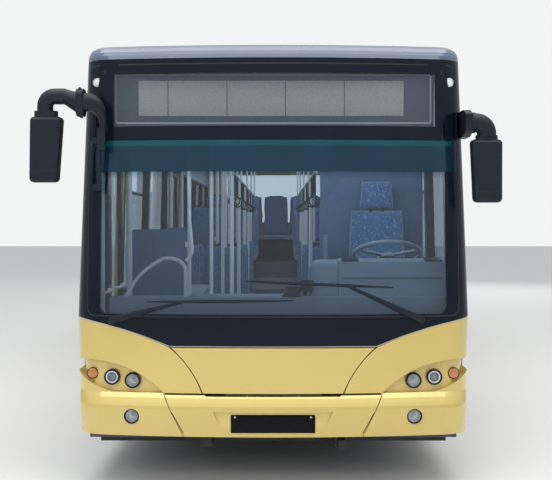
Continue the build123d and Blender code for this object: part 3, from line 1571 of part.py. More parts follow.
with BuildPart() as kerb_mirror:
    arm_x = -kerb_pillar_x
    add(mirror_housing(*kerb_housing))
    with BuildSketch(Plane.XY.offset(kerb_housing[0][2] - 4)) as kerb_collar:
        with Locations((arm_x - 207, mirror_y)):
            RectangleRounded(145, 96, 40)
    extrude(amount=40)
    add(
        elbow(
            [
                (arm_x - 90, mirror_y, kerb_elbow_z),
                (arm_x - 213, mirror_y, kerb_elbow_z),
                (arm_x - 213, mirror_y, kerb_housing[0][2] + 20),
            ],
            kerb_elbow_radius,
            60,
        )
    )
    loft(
        [
            round_section(arm_x - 94, kerb_elbow_z, (1, 0), kerb_elbow_radius),
            round_section(arm_x - 12, kerb_arm_z, (1, 0), 66),
        ]
    )
    # Clamp between the arm and the horn that turns down to the pillar
    with BuildSketch(Plane.YZ.offset(arm_x - 12)) as clamp:
        with Locations((mirror_y, kerb_arm_z)):
            RectangleRounded(134, 170, 42)
    extrude(amount=44)
    loft(
        [
            round_section(arm_x + 30, kerb_arm_z, (1, 0), 62),
            round_section(arm_x + 112, kerb_arm_z - 25, (0.7071, -0.7071), 46),
            round_section(arm_x + 143, kerb_arm_z - 103, (0, -1), 25),
            round_section(arm_x + 143, kerb_arm_z - 163, (0, -1), 19),
        ]
    )
    with Locations((arm_x + 137, mirror_y, kerb_arm_z - 227)):
        Box(51, 40, 140)
    bar_top_z = kerb_arm_z - 290
    with Locations((arm_x + 121, mirror_y, (kerb_bar_foot_z + bar_top_z) / 2)):
        Box(26, 30, bar_top_z - kerb_bar_foot_z)
    # Legs that seat the bar on the pillar
    for z in [kerb_bar_foot_z + 20, kerb_arm_z - 235]:
        with Locations((arm_x + 101, mirror_y + bracket_reach_back / 2 - 15, z)):
            Box(36, bracket_reach_back, 40)
    add(nose_form, mode=Mode.SUBTRACT)

with BuildPart() as driver_mirror:
    plate_x = driver_pillar_x - 20
    add(mirror_housing(*driver_housing))
    with BuildSketch(Plane.XY.offset(driver_housing[0][2] - 4)) as driver_collar:
        with Locations((driver_pillar_x + 119, mirror_y)):
            RectangleRounded(136, 100, 44)
    extrude(amount=30)
    with BuildSketch(Plane.YZ.offset(plate_x)) as driver_plate:
        with BuildLine():
            Polyline(
                (mirror_y - 62, driver_arm_z - 52),
                (mirror_y - 62, driver_arm_z + 52),
                (mirror_y + 50, driver_arm_z + 86),
                (mirror_y + bracket_reach_back, driver_arm_z + 86),
                (mirror_y + bracket_reach_back, driver_arm_z - 84),
                (mirror_y + 50, driver_arm_z - 84),
                close=True,
            )
        make_face()
    extrude(amount=46)
    add(
        elbow(
            [
                (driver_pillar_x + 10, mirror_y, driver_arm_z),
                (driver_pillar_x + 119, mirror_y, driver_arm_z),
                (driver_pillar_x + 119, mirror_y, driver_housing[0][2] + 15),
            ],
            driver_elbow_radius,
            66,
        )
    )
    with BuildSketch(Plane.YZ.offset(plate_x + 40)) as arm_ring:
        with Locations((mirror_y, driver_arm_z)):
            Circle(driver_elbow_radius + 5)
    extrude(amount=24)
    add(nose_form, mode=Mode.SUBTRACT)

with BuildPart() as mirrors:
    add(kerb_mirror.part)
    add(driver_mirror.part)
mirrors.part.label = "mirrors"
export_step(mirrors.part, "parts/mirrors.step")
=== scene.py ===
import json
import math

import bmesh
import bpy
from mathutils import Matrix, Vector
from mathutils.bvhtree import BVHTree


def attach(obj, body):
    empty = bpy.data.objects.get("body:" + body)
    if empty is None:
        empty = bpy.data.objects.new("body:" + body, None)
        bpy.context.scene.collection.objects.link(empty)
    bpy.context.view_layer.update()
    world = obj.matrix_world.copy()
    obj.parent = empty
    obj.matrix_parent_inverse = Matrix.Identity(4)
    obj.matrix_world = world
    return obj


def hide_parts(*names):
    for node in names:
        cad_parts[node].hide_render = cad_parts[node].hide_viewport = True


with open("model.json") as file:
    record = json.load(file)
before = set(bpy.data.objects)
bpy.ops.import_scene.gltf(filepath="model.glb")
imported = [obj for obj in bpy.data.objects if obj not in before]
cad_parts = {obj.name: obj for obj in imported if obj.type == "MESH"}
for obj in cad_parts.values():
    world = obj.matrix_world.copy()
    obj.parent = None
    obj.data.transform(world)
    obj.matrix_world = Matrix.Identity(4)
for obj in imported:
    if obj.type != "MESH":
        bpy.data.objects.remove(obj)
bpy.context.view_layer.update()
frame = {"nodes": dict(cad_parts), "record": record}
nodes = frame["nodes"]
scene = bpy.context.scene
noise, cells = "ShaderNodeTexNoise", "ShaderNodeTexVoronoi"


# Colour, node and material helpers
def paint(hex_code):
    """An sRGB hex value as the linear colour that shaders take."""
    parts = [int(hex_code[i : i + 2], 16) / 255 for i in (1, 3, 5)]
    return (*[p / 12.92 if p <= 0.04045 else ((p + 0.055) / 1.055) ** 2.4 for p in parts], 1.0)


def add(tree, kind, links=(), **settings):
    """One node; settings are its properties, or socket values by name with _ for a space.

    Links are pairs of an input and what feeds it.
    """
    node = tree.nodes.new(kind)
    for name, value in settings.items():
        if hasattr(node, name):
            setattr(node, name, value)
        else:
            node.inputs[name.replace("_", " ")].default_value = value
    for target, source in links:
        tree.links.new(source, node.inputs[target])
    return node


def tones(tree, source, low, high, span=None, coordinates="Object"):
    """Two tones over a texture or over height; a tone is a hex code, or the tuple of a finer pattern."""
    at = add(tree, "ShaderNodeTexCoord").outputs[coordinates]
    if source == "height":
        factor = add(tree, "ShaderNodeSeparateXYZ", [("Vector", at)]).outputs["Z"]
    else:
        factor = add(tree, links=[("Vector", at)], **source).outputs[0]
    if span:
        part = add(tree, "ShaderNodeMapRange", [("Value", factor)], From_Min=span[0], From_Max=span[1])
        factor = part.outputs[0]
    mix = add(tree, "ShaderNodeMix", [(0, factor)], data_type="RGBA")
    for index, tone in ((6, low), (7, high)):
        if isinstance(tone, tuple):
            tree.links.new(tones(tree, *tone), mix.inputs[index])
        else:
            mix.inputs[index].default_value = paint(tone)
    return mix.outputs[2]


def material(name, pattern=None, relief=None, **settings):
    """A material in the tones of a pattern, with a relief of (texture, depth in mm, strength).

    The settings are the shader's own.
    """
    mat = bpy.data.materials.new(name)
    mat.use_nodes = True
    tree = mat.node_tree
    tree.nodes.clear()
    shader = add(tree, "ShaderNodeBsdfPrincipled", **settings)
    add(tree, "ShaderNodeOutputMaterial", [("Surface", shader.outputs[0])])
    if pattern:
        tree.links.new(tones(tree, *pattern), shader.inputs["Base Color"])
    if relief:
        texture, depth, strength = relief
        at = add(tree, "ShaderNodeTexCoord").outputs["Object"]
        rise = add(tree, links=[("Vector", at)], **texture).outputs[0]
        bump = add(tree, "ShaderNodeBump", [("Height", rise)], Strength=strength, Distance=depth / 1000)
        tree.links.new(bump.outputs[0], shader.inputs["Normal"])
    return mat


# Camera: the photograph's width and the focal length in its pixels, then where it stands, in metres
photo_width, focal_pixels = 552, 1066
tilt_down, turn_left = 0.98, 0.11
camera_data = bpy.data.cameras.new("camera")
camera_data.sensor_width = 36.0
camera_data.lens = focal_pixels / photo_width * 36.0
camera = bpy.data.objects.new("camera", camera_data)
camera.location = (0.031, -12.475, 1.66)
camera.rotation_euler = (math.radians(90 - tilt_down), 0, math.radians(turn_left))
camera_data.clip_end = 200
scene.collection.objects.link(camera)
scene.camera = camera
scene.view_settings.view_transform = "Standard"

# Studio: the camera and clear glass see a pale backdrop, and everything else a dull sky that pales upwards
world = bpy.data.worlds.new("studio")
scene.world = world
world.use_nodes = True
tree = world.node_tree
tree.nodes.clear()
ray = add(tree, "ShaderNodeLightPath")
through_glass = [(0, ray.outputs["Is Camera Ray"]), (1, ray.outputs["Is Transmission Ray"])]
seen = add(tree, "ShaderNodeMath", through_glass, operation="MAXIMUM")
sky = tones(tree, "height", "#9ea09f", "#f4f7fa", (-0.25, 0.6), "Generated")
dull = add(tree, "ShaderNodeBackground", [("Color", sky)], Strength=0.85)
pale = add(tree, "ShaderNodeBackground", Color=paint("#f3f4f4"), Strength=1.0)
mixed = add(tree, "ShaderNodeMixShader", [(0, seen.outputs[0]), (1, dull.outputs[0]), (2, pale.outputs[0])])
add(tree, "ShaderNodeOutputWorld", [("Surface", mixed.outputs[0])])


def lamp(name, place_at, aim_at, size, watts, mirrored=False):
    """A soft rectangular lamp; only a mirrored one shows in glossy surfaces."""
    data = bpy.data.lights.new(name, "AREA")
    data.shape = "RECTANGLE"
    data.size, data.size_y = size
    data.energy = watts
    light = bpy.data.objects.new(name, data)
    light.location = place_at
    light.rotation_euler = (Vector(aim_at) - Vector(place_at)).to_track_quat("-Z", "Y").to_euler()
    light.visible_glossy = mirrored
    light.visible_transmission = False
    scene.collection.objects.link(light)


lamp("overhead_soft", (0, -6, 9), (0, -4, 0), (11, 11), 900, mirrored=True)
lamp("front_soft", (-3, -17, 6), (0, -6, 1), (10, 5), 420)
lamp("rear_soft", (4, 15, 7), (0, 3, 1.2), (10, 6), 420)
lamp("cabin_soft", (0, 0.4, 2.66), (0, 0.4, 0), (1.0, 9), 60)
lamp("cab_soft", (0.2, -5.5, 2.2), (0.4, -3.6, 1.2), (1.8, 0.2), 14)

floor_reach = 60
floor_mesh = bpy.data.meshes.new("studio_floor")
floor_corners = [(x * floor_reach, y * floor_reach, 0) for x, y in ((-1, -1), (1, -1), (1, 1), (-1, 1))]
floor_mesh.from_pydata(floor_corners, [], [(0, 1, 2, 3)])
studio_floor = bpy.data.objects.new("studio_floor", floor_mesh)
scene.collection.objects.link(studio_floor)
floor_mesh.materials.append(material("pale_studio_floor", Base_Color=paint("#d9d9d7"), Roughness=0.75))


# Forms in millimetres
def spread(low, high, count):
    """Values from low to high in that many equal steps."""
    return [low + (high - low) * i / count for i in range(count + 1)]


def line(start, end, count=12):
    """Points of a straight run in a plane."""
    return list(zip(spread(start[0], end[0], count), spread(start[1], end[1], count)))


def block(form, centre, size, soft, turn=None):
    """A block with its edges rounded by soft."""
    verts = bmesh.ops.create_cube(form, size=1.0)["verts"]
    matrix = Matrix.Translation(centre) @ (turn or Matrix()) @ Matrix.Diagonal((*size, 1))
    bmesh.ops.transform(form, matrix=matrix, verts=verts)
    edges = list(dict.fromkeys(edge for vert in verts for edge in vert.link_edges))
    bmesh.ops.bevel(form, geom=edges, offset=soft, segments=2, affect="EDGES", profile=0.5)


def skin(form, loops, closed=False):
    """Faces over loops that have equal numbers of points, and over both ends unless it is closed."""
    made = [[form.verts.new(point) for point in loop] for loop in loops]
    for one, other in zip(made, made[1:] + (made[:1] if closed else [])):
        for i in range(len(one)):
            j = (i + 1) % len(one)
            form.faces.new((one[i], one[j], other[j], other[i]))
    if not closed:
        form.faces.new(made[0][::-1])
        form.faces.new(made[-1])


def turned(form, profile, origin, axis, sides=32, closed=False):
    """A profile of (radius, distance along) turned about an axis."""
    axis = Vector(axis).normalized()
    across = axis.orthogonal().normalized()
    third = axis.cross(across)
    angles = [2 * math.pi * i / sides for i in range(sides)]
    loops = []
    for radius, along in profile:
        centre = Vector(origin) + axis * along
        loops.append([centre + (across * math.cos(a) + third * math.sin(a)) * radius for a in angles])
    skin(form, loops, closed)


def dome(radius, height, step=9, base=0.0):
    """A lens's profile from its rim to its middle, one point every few degrees."""
    angles = [math.radians(degrees) for degrees in range(0, 91, step)]
    return [(radius * math.cos(a), base + height * math.sin(a)) for a in angles]


def rounded(points, radius, steps=6, closed=False):
    """A path whose corners are rounded off by that much."""
    points = [Vector(p) for p in points]
    path = []
    for i, corner in enumerate(points):
        if not closed and i in (0, len(points) - 1):
            path.append(corner)
            continue
        before, after = points[i - 1], points[(i + 1) % len(points)]
        cut = min(radius, (corner - before).length * 0.49, (after - corner).length * 0.49)
        start = corner + (before - corner).normalized() * cut
        end = corner + (after - corner).normalized() * cut
        for step in range(steps + 1):
            t = step / steps
            path.append(start * (1 - t) ** 2 + corner * 2 * t * (1 - t) + end * t * t)
    return path


def run_at(points, i, closed):
    """The direction of a path at one of its points."""
    after = points[(i + 1) % len(points)] if closed or i + 1 < len(points) else points[i]
    before = points[i - 1] if closed or i else points[i]
    return (after - before).normalized()


def bar(form, points, radius, sides=10, closed=False, flat=1.0, up=None):
    """A round bar; radius is one number or one for each point, and flat squashes it along up."""
    points = [Vector(p) for p in points]
    radii = radius if isinstance(radius, list) else [radius] * len(points)
    angles = [2 * math.pi * k / sides for k in range(sides)]
    loops = []
    normal = Vector(up) if up else None
    for i, point in enumerate(points):
        run = run_at(points, i, closed)
        normal = (normal - run * normal.dot(run)).normalized() if normal else run.orthogonal().normalized()
        third = run.cross(normal)
        turns = [normal * (math.cos(a) * flat) + third * math.sin(a) for a in angles]
        loops.append([point + turn * radii[i] for turn in turns])
    skin(form, loops, closed)


def strip(form, path, section, closed=False):
    """A strip along (point, normal) pairs; its section is (across, out) points."""
    points = [point for point, _ in path]
    loops = []
    for i, (point, normal) in enumerate(path):
        across = run_at(points, i, closed).cross(normal).normalized()
        loops.append([point + across * a + normal * b for a, b in section])
    skin(form, loops, closed)


def bead(form, path, width, height, closed=False):
    """A flat strip with rounded shoulders that sits 1 mm deep in its surface."""
    shoulder = height * 0.5
    section = [(-0.5, -1), (-0.5, shoulder), (-0.34, height), (0.34, height), (0.5, shoulder), (0.5, -1)]
    strip(form, path, [(share * width, rise) for share, rise in section], closed)


def in_plane(path, axis, level, out):
    """(point, normal) pairs of a path in the plane where one axis, by its number, has a fixed value."""
    return [(Vector((*pair[:axis], level, *pair[axis:])), Vector(out)) for pair in path]


def set_up(made, body, crease):
    """Smooths a piece's mesh between its creases, and gives the piece its body."""
    made.data.shade_smooth()
    made.data.set_sharp_from_angle(angle=math.radians(crease))
    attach(made, body)
    return made


def make_piece(name, form, finish, body="bus", crease=35):
    """Turns a form in millimetres into a piece in metres that rides on a body."""
    bmesh.ops.remove_doubles(form, verts=form.verts, dist=0.002)
    bmesh.ops.recalc_face_normals(form, faces=form.faces)
    bmesh.ops.scale(form, vec=(0.001, 0.001, 0.001), verts=form.verts)
    mesh = bpy.data.meshes.new(name)
    form.to_mesh(mesh)
    form.free()
    mesh.materials.append(finish)
    made = bpy.data.objects.new(name, mesh)
    scene.collection.objects.link(made)
    return set_up(made, body, crease)


def copies(name, spots, single, finish, body="bus", **sizes):
    """Copies of one form at spots of (place in mm, turn), by Geometry Nodes, kept as a plain mesh."""
    tree = bpy.data.node_groups.new(name, "GeometryNodeTree")
    sockets = tree.interface
    sockets.new_socket("Geometry", in_out="INPUT", socket_type="NodeSocketGeometry")
    sockets.new_socket("Geometry", in_out="OUTPUT", socket_type="NodeSocketGeometry")
    keys = {}
    for size in sizes:
        keys[size] = sockets.new_socket(size, in_out="INPUT", socket_type="NodeSocketFloat").identifier
    given = add(tree, "NodeGroupInput").outputs
    turn = add(tree, "GeometryNodeInputNamedAttribute", data_type="FLOAT_VECTOR", Name="turn")
    links = [("Points", given["Geometry"]), ("Instance", single(tree, given)), ("Rotation", turn.outputs[0])]
    placed = add(tree, "GeometryNodeInstanceOnPoints", links)
    real = add(tree, "GeometryNodeRealizeInstances", [(0, placed.outputs[0])])
    painted = add(tree, "GeometryNodeSetMaterial", [("Geometry", real.outputs[0])], Material=finish)
    add(tree, "NodeGroupOutput", [(0, painted.outputs[0])])
    points = bpy.data.meshes.new(name)
    points.from_pydata([tuple(v / 1000 for v in place_at) for place_at, _ in spots], [], [])
    turns = points.attributes.new("turn", "FLOAT_VECTOR", "POINT")
    for i, (_, angles) in enumerate(spots):
        turns.data[i].vector = angles
    made = bpy.data.objects.new(name, points)
    scene.collection.objects.link(made)
    modifier = made.modifiers.new("copies", "NODES")
    modifier.node_group = tree
    for size, value in sizes.items():
        modifier[keys[size]] = value / 1000
    graph = bpy.context.evaluated_depsgraph_get()
    mesh = bpy.data.meshes.new_from_object(made.evaluated_get(graph))
    made.modifiers.clear()
    made.data = mesh
    return set_up(made, body, 35)


def body_with(node):
    """The body that a CAD node rides on."""
    return next(body for body, held in frame["record"]["behaviour"]["bodies"].items() if node in held)


def to_z(normal):
    """The turn that takes a copy's own Z to a direction."""
    return tuple(Vector(normal).to_track_quat("Z", "Y").to_euler())


# The body's surfaces, in millimetres: ends that bow between corner arcs, sides that lean in above the waist
front_y, rear_y = -5975.0, 5975.0
skirt_z, waist_z, gutter_z, crown_z = 330.0, 1060.0, 2690.0, 2810.0
skirt_half, waist_half, gutter_half = 1231.0, 1250.0, 1203.0
nose_bow, nose_corner = 6000, 200
tail_bow, tail_corner = 9000, 160
front_line_z, flap_foot_z = 505, 600
forward, back, upright = (0, -1, 0), (0, 1, 0), (0, 0, 1)


def half_width(z):
    """Half the body's width at a height."""
    if z < waist_z:
        return skirt_half + (waist_half - skirt_half) * (z - skirt_z) / (waist_z - skirt_z)
    return waist_half - (waist_half - gutter_half) * (z - waist_z) / (gutter_z - waist_z)


def end_y(x, z, setback, bow, corner):
    """Distance of an end's skin from mid-length: a shallow bow between two corner arcs."""
    half, apex = half_width(z), rear_y - setback
    centre = apex - bow + math.sqrt((bow - corner) ** 2 - (half - corner) ** 2)
    touch = (half - corner) * bow / (bow - corner)
    if abs(x) <= touch:
        return apex - bow + math.sqrt(bow**2 - x * x)
    return centre + math.sqrt(max(corner**2 - (min(abs(x), half) - half + corner) ** 2, 0.0))


def nose_setback(z):
    """Distance behind the foremost line: skirt 50, flap's foot 45, waist 55 and gutter 190."""
    if z <= front_line_z:
        return 50 * (front_line_z - z) / (front_line_z - skirt_z)
    if z < flap_foot_z:
        return 45 * (z - front_line_z) / (flap_foot_z - front_line_z)
    if z < waist_z:
        return 45 + 10 * (z - flap_foot_z) / (waist_z - flap_foot_z)
    return 55 + 135 * (z - waist_z) / (gutter_z - waist_z)


def tail_setback(z):
    """Distance ahead of the rearmost line, which is the waist: 20 mm at the skirt and 70 at the gutter."""
    if z < waist_z:
        return 20 * (waist_z - z) / (waist_z - skirt_z)
    return 70 * (z - waist_z) / (gutter_z - waist_z)


def bow_y(x, z, setback, bow):
    """Distance of an end's bow alone from mid-length, as the lamps are placed."""
    return rear_y - setback(z) - bow + math.sqrt(bow**2 - x * x)


def nose(x, z):
    return Vector((x, -end_y(x, z, nose_setback(z), nose_bow, nose_corner), z))


def tail(x, z):
    return Vector((x, end_y(x, z, tail_setback(z), tail_bow, tail_corner), z))


def left_side(y, z):
    return Vector((half_width(z), y, z))


def right_side(y, z):
    return Vector((-half_width(z), y, z))


both_sides = ((1, left_side), (-1, right_side))


def on(surface, path, lift=0.0):
    """(point, normal) pairs of a surface along a path of its two coordinates."""
    pairs = []
    for a, b in path:
        point = surface(a, b)
        along, up = surface(a + 0.5, b) - surface(a - 0.5, b), surface(a, b + 0.5) - surface(a, b - 0.5)
        normal = along.cross(up).normalized()
        # Outwards is away from the body's middle, with its length shrunk to about its width
        if normal.dot(Vector((point.x, point.y / 4.6, 0))) < 0:
            normal = -normal
        pairs.append((point + normal * lift, normal))
    return pairs


def round_rect(low, high, bottom, top, corner):
    """A rounded rectangle as a closed path of two coordinates, with a point at least every 150 mm."""
    corners = [(low, bottom), (high, bottom), (high, top), (low, top)]
    path = [(p.x, p.y) for p in rounded([(a, b, 0) for a, b in corners], corner, 6, closed=True)]
    full = []
    for i, (a, b) in enumerate(path):
        c, d = path[(i + 1) % len(path)]
        runs = max(1, int(math.hypot(c - a, d - b) / 150.0))
        full += line((a, b), (c, d), runs)[:-1]
    return full


def through(three, count):
    """Points of the arc through three points of a plane."""
    (ax, ay), (bx, by), (cx, cy) = three
    d = 2 * (ax * (by - cy) + bx * (cy - ay) + cx * (ay - by))
    ux = ((ax**2 + ay**2) * (by - cy) + (bx**2 + by**2) * (cy - ay) + (cx**2 + cy**2) * (ay - by)) / d
    uy = ((ax**2 + ay**2) * (cx - bx) + (bx**2 + by**2) * (ax - cx) + (cx**2 + cy**2) * (bx - ax)) / d
    radius = math.hypot(ax - ux, ay - uy)
    angles = [math.atan2(y - uy, x - ux) for x, y in three]
    for i in (1, 2):
        while angles[i] - angles[i - 1] > math.pi:
            angles[i] -= 2 * math.pi
        while angles[i] - angles[i - 1] < -math.pi:
            angles[i] += 2 * math.pi
    turns = spread(angles[0], angles[2], count)
    return [(ux + radius * math.cos(a), uy + radius * math.sin(a)) for a in turns]


# Materials. A texture's scale is in cells a metre, so 700 is a grain of 1.4 mm. Finer grains are drawn as
# coarse as they need to be to show.

# Metallic two-coat enamel, pale gold: flake under clear coat gives a soft pearl sheen that drifts a little.
gold_flake = (dict(kind=noise, Scale=420, Detail=2), "#cfb666", "#dcc578")
gold_enamel = material(
    "pale_gold_metallic_enamel",
    (dict(kind=noise, Scale=1.3, Detail=3), gold_flake, "#cfb768", (0.35, 0.75)),
    (dict(kind=noise, Scale=160, Detail=1), 0.06, 0.4),
    Roughness=0.3, Metallic=0.35, Coat_Weight=0.9, Coat_Roughness=0.05,
)

# Black gloss enamel on glass-fibre and under glass: deep, with faint orange peel.
black_enamel = material(
    "black_gloss_enamel",
    (dict(kind=noise, Scale=2.0, Detail=5), "#0a1019", "#131b27"),
    (dict(kind=noise, Scale=140, Detail=1), 0.05, 0.35),
    Roughness=0.16, Specular_IOR_Level=0.15, Coat_Weight=0.12, Coat_Roughness=0.03,
)

# Slate-blue gloss enamel of the roof: an even sheen under clouds of dust.
slate_enamel = material(
    "slate_gloss_enamel",
    (dict(kind=noise, Scale=3.5, Detail=6), "#424c62", "#525c73"),
    Roughness=0.26, Coat_Weight=0.5, Coat_Roughness=0.08,
)

# Laminated windscreen glass: clear with a faint blue cast, and darker behind the printed sun band.
below_band = ("height", "#d9e8f3", "#8fb6ca", (1.93, 1.975))
screen_glass = material(
    "laminated_glass",
    ("height", below_band, "#e2e9ef", (2.166, 2.172)),
    Roughness=0.0, Transmission_Weight=1.0, IOR=1.45,
)

# Toughened side glass: clear with a grey tint.
side_glass = material(
    "tinted_toughened_glass",
    Base_Color=paint("#d0dade"), Roughness=0.0, Transmission_Weight=1.0, IOR=1.45,
)

# Moulded ABS, charcoal: a fine pebble grain breaks its sheen.
charcoal_abs = material(
    "grained_charcoal_abs",
    (dict(kind=noise, Scale=6, Detail=4), "#121820", "#1e252f"),
    (dict(kind=cells, Scale=700), 0.15, 0.5),
    Roughness=0.42, Specular_IOR_Level=0.25,
)

# Moulded ABS, grey-blue, of the dashboard and seat shells: the same grain on a duller face.
grey_abs = material(
    "grained_grey_abs",
    (dict(kind=noise, Scale=4, Detail=4), "#66788c", "#7f92a6"),
    (dict(kind=cells, Scale=600), 0.2, 0.5),
    Roughness=0.55,
)

# Chassis black over steel: dull, with brown road dust in patches.
chassis_black = material(
    "chassis_black_enamel",
    (dict(kind=noise, Scale=5, Detail=8), "#16171a", "#3a3834", (0.4, 0.7)),
    Roughness=0.6,
)

# Cast and forged iron: dark, with the sandy skin of the mould.
sand = dict(kind=noise, Scale=260, Detail=4)
cast_iron = material(
    "dark_cast_iron", (sand, "#2b2a29", "#474442"), (sand, 0.4, 0.5), Roughness=0.6, Metallic=0.6
)

# Silver enamel of the wheels: bright metal flake with brake dust in patches.
silver_enamel = material(
    "silver_wheel_enamel",
    (dict(kind=noise, Scale=14, Detail=7), "#b9bcbf", "#8d8a84", (0.45, 0.75)),
    Roughness=0.35, Metallic=0.7,
)

# Vulcanised rubber: near black and dull, greyed by dust.
tyre_rubber = material(
    "vulcanised_rubber",
    (dict(kind=noise, Scale=18, Detail=6), "#161616", "#33322f", (0.4, 0.8)),
    Roughness=0.78,
)

# Speckled vinyl flooring: pale chips in a dark ground.
speckled_vinyl = material(
    "speckled_vinyl", (dict(kind=cells, Scale=220), "#8d939c", "#4b5059", (0.15, 0.25)), Roughness=0.5
)

# Woven blue moquette: a soft pile with pale flecks, its weave drawn at 2 mm so that it shows.
weave = dict(kind=noise, Scale=500, Detail=2)
blue_moquette = material(
    "woven_blue_moquette",
    (dict(kind=cells, Scale=55), (weave, "#2a527c", "#3a6892"), "#7f9ab8", (0.28, 0.2)),
    (weave, 0.6, 0.6),
    Roughness=0.95, Sheen_Weight=0.4,
)

# Pale grey powder coat of the rails: a satin face with a faint texture.
speck = dict(kind=noise, Scale=300, Detail=2)
powder_coat = material(
    "pale_grey_powder_coat", (speck, "#b3bbc2", "#c6cdd3"), (speck, 0.08, 0.4), Roughness=0.35
)

# Printed teal sun band at the windscreen's head: dots of ink, half clear. Its brighter first line, a less
# clear copy of the same print, is painted highlight along the joint in the glass there.
ink_dots = dict(kind=cells, Scale=420)
sun_film = material(
    "teal_sun_band_print",
    (ink_dots, "#1d5472", "#26627f"),
    Roughness=0.1, Transmission_Weight=0.8, Specular_IOR_Level=0.1,
)
sun_line_painted_highlight = material(
    "teal_sun_line_painted_highlight",
    (ink_dots, "#14606b", "#1b707b"),
    Roughness=0.1, Transmission_Weight=0.6, Specular_IOR_Level=0.1,
)

# Clear polycarbonate: hard, smooth and almost colourless.
clear_lens = material(
    "clear_polycarbonate", Base_Color=paint("#eef1f2"), Roughness=0.03, Transmission_Weight=1.0, IOR=1.5
)

# Black anodised sheet of the blank plates: dull, with a slight haze.
plate_black = material(
    "black_anodised_sheet",
    (dict(kind=noise, Scale=30, Detail=6), "#08080b", "#131218"),
    Roughness=0.45, Specular_IOR_Level=0.12,
)

# Destination display: square cells of a matrix board, pale, behind a grey-blue filter pane.
squares = dict(kind=cells, Scale=90, distance="CHEBYCHEV")
matrix_filter = material("matrix_filter_pane", (squares, "#66778c", "#55657a"), Roughness=0.4)
led_matrix = material("led_matrix_board", (squares, "#e9e6dc", "#c4c5c3"), Roughness=0.5)

# Chromium-plated reflector bowls and bright anodised trim: mirror metal with a breath of haze.
chromed_reflector = material(
    "chromed_reflector",
    (dict(kind=noise, Scale=60, Detail=3), "#eef1f4", "#fbfcfd"),
    Roughness=0.2, Metallic=0.85,
)
bright_trim = material(
    "bright_anodised_trim",
    (dict(kind=noise, Scale=80, Detail=4), "#a9adae", "#cdd0cf"),
    Roughness=0.3, Metallic=0.85,
)

# Thick glass of the projector lamps, grey-blue in depth, and frosted glass of the bulbs.
projector_glass = material(
    "projector_lens_glass",
    (dict(kind=noise, Scale=25, Detail=2), "#6f7c8a", "#93a0ac"),
    Roughness=0.05, Coat_Weight=1.0, Coat_Roughness=0.02,
)
frosted_bulb = material(
    "frosted_lamp_glass",
    (dict(kind=noise, Scale=90, Detail=2), "#c9ced3", "#e6e9ec"),
    Roughness=0.2, Coat_Weight=0.6, Coat_Roughness=0.05,
)

# Moulded acrylic lenses, amber and red: fine square prisms behind a smooth face.
prisms = dict(kind=cells, Scale=240, distance="CHEBYCHEV")
amber_lens = material(
    "amber_acrylic_lens", (prisms, "#a5622a", "#c98a48"), Roughness=0.12, Coat_Weight=1.0, Coat_Roughness=0.03
)
red_lens = material(
    "red_acrylic_lens", (prisms, "#7c1013", "#a81c1e"), Roughness=0.12, Coat_Weight=1.0, Coat_Roughness=0.03
)

# Extruded sealing rubber: satin black with a grey bloom.
seal_rubber = material(
    "extruded_seal_rubber", (dict(kind=noise, Scale=22, Detail=5), "#0e0f10", "#1d1e20"), Roughness=0.55
)

# Silvered glass of the mirrors: a sharp reflection with a faint blue tint.
mirror_silver = material(
    "silvered_mirror_glass",
    (dict(kind=noise, Scale=3, Detail=1), "#c4ccd2", "#d3dade"),
    Roughness=0.02, Metallic=1.0,
)

# Olive-grey primer on the bar behind the slot under the flap: flat and patchy.
olive_primer = material(
    "olive_grey_primer", (dict(kind=noise, Scale=12, Detail=5), "#4b4a3a", "#6b6a52"), Roughness=0.6
)

# Laminates: pale on the ceiling and the linings, blue on the screens beside the doors, both softly mottled.
lining_laminate = material(
    "pale_lining_laminate", (dict(kind=noise, Scale=40, Detail=6), "#8f9fb0", "#a3b2c2"), Roughness=0.5
)
blue_laminate = material(
    "blue_screen_laminate", (dict(kind=noise, Scale=30, Detail=5), "#3c5878", "#4d6c8f"), Roughness=0.4
)

# Opal acrylic over the unlit ceiling lamps: milky, with a soft sheen.
opal_acrylic = material(
    "opal_acrylic", (dict(kind=noise, Scale=15, Detail=3), "#ccd2d6", "#dde2e5"), Roughness=0.35
)

slot_finish = {
    "yellow": gold_enamel,
    "black_gloss": black_enamel,
    "slate": slate_enamel,
    "glass": side_glass,
    "lamp": clear_lens,
    "black_matt": charcoal_abs,
    "grey_plastic": grey_abs,
    "steel": chassis_black,
    "rim": silver_enamel,
    "tyre": tyre_rubber,
    "iron": cast_iron,
    "floor": speckled_vinyl,
    "seat": blue_moquette,
    "rail": powder_coat,
    "plate": plate_black,
    "display": matrix_filter,
}
for row in frame["record"]["subparts"]:
    mesh = nodes[row["node"]].data
    mesh.materials.clear()
    mesh.materials.append(slot_finish[row["material_slot"]])
nodes["windscreen"].data.materials[0] = screen_glass
nodes["cab_partition"].data.materials[0] = blue_laminate
nodes["front_lamps"].data.materials[0] = chromed_reflector
nodes["steering_wheel"].data.materials[0] = grey_abs

# The slot of every finish: the CAD's own, then those that only pieces wear
slot_of = {finish.name: slot_name for slot_name, finish in slot_finish.items()}
piece_finishes = {
    "glass": [screen_glass, sun_film, sun_line_painted_highlight, mirror_silver],
    "display": [led_matrix],
    "lamp": [chromed_reflector, projector_glass, frosted_bulb, amber_lens, red_lens, opal_acrylic],
    "rail": [bright_trim],
    "tyre": [seal_rubber],
    "steel": [olive_primer],
    "grey_plastic": [lining_laminate, blue_laminate],
}
for slot_name, finishes in piece_finishes.items():
    slot_of.update({finish.name: slot_name for finish in finishes})

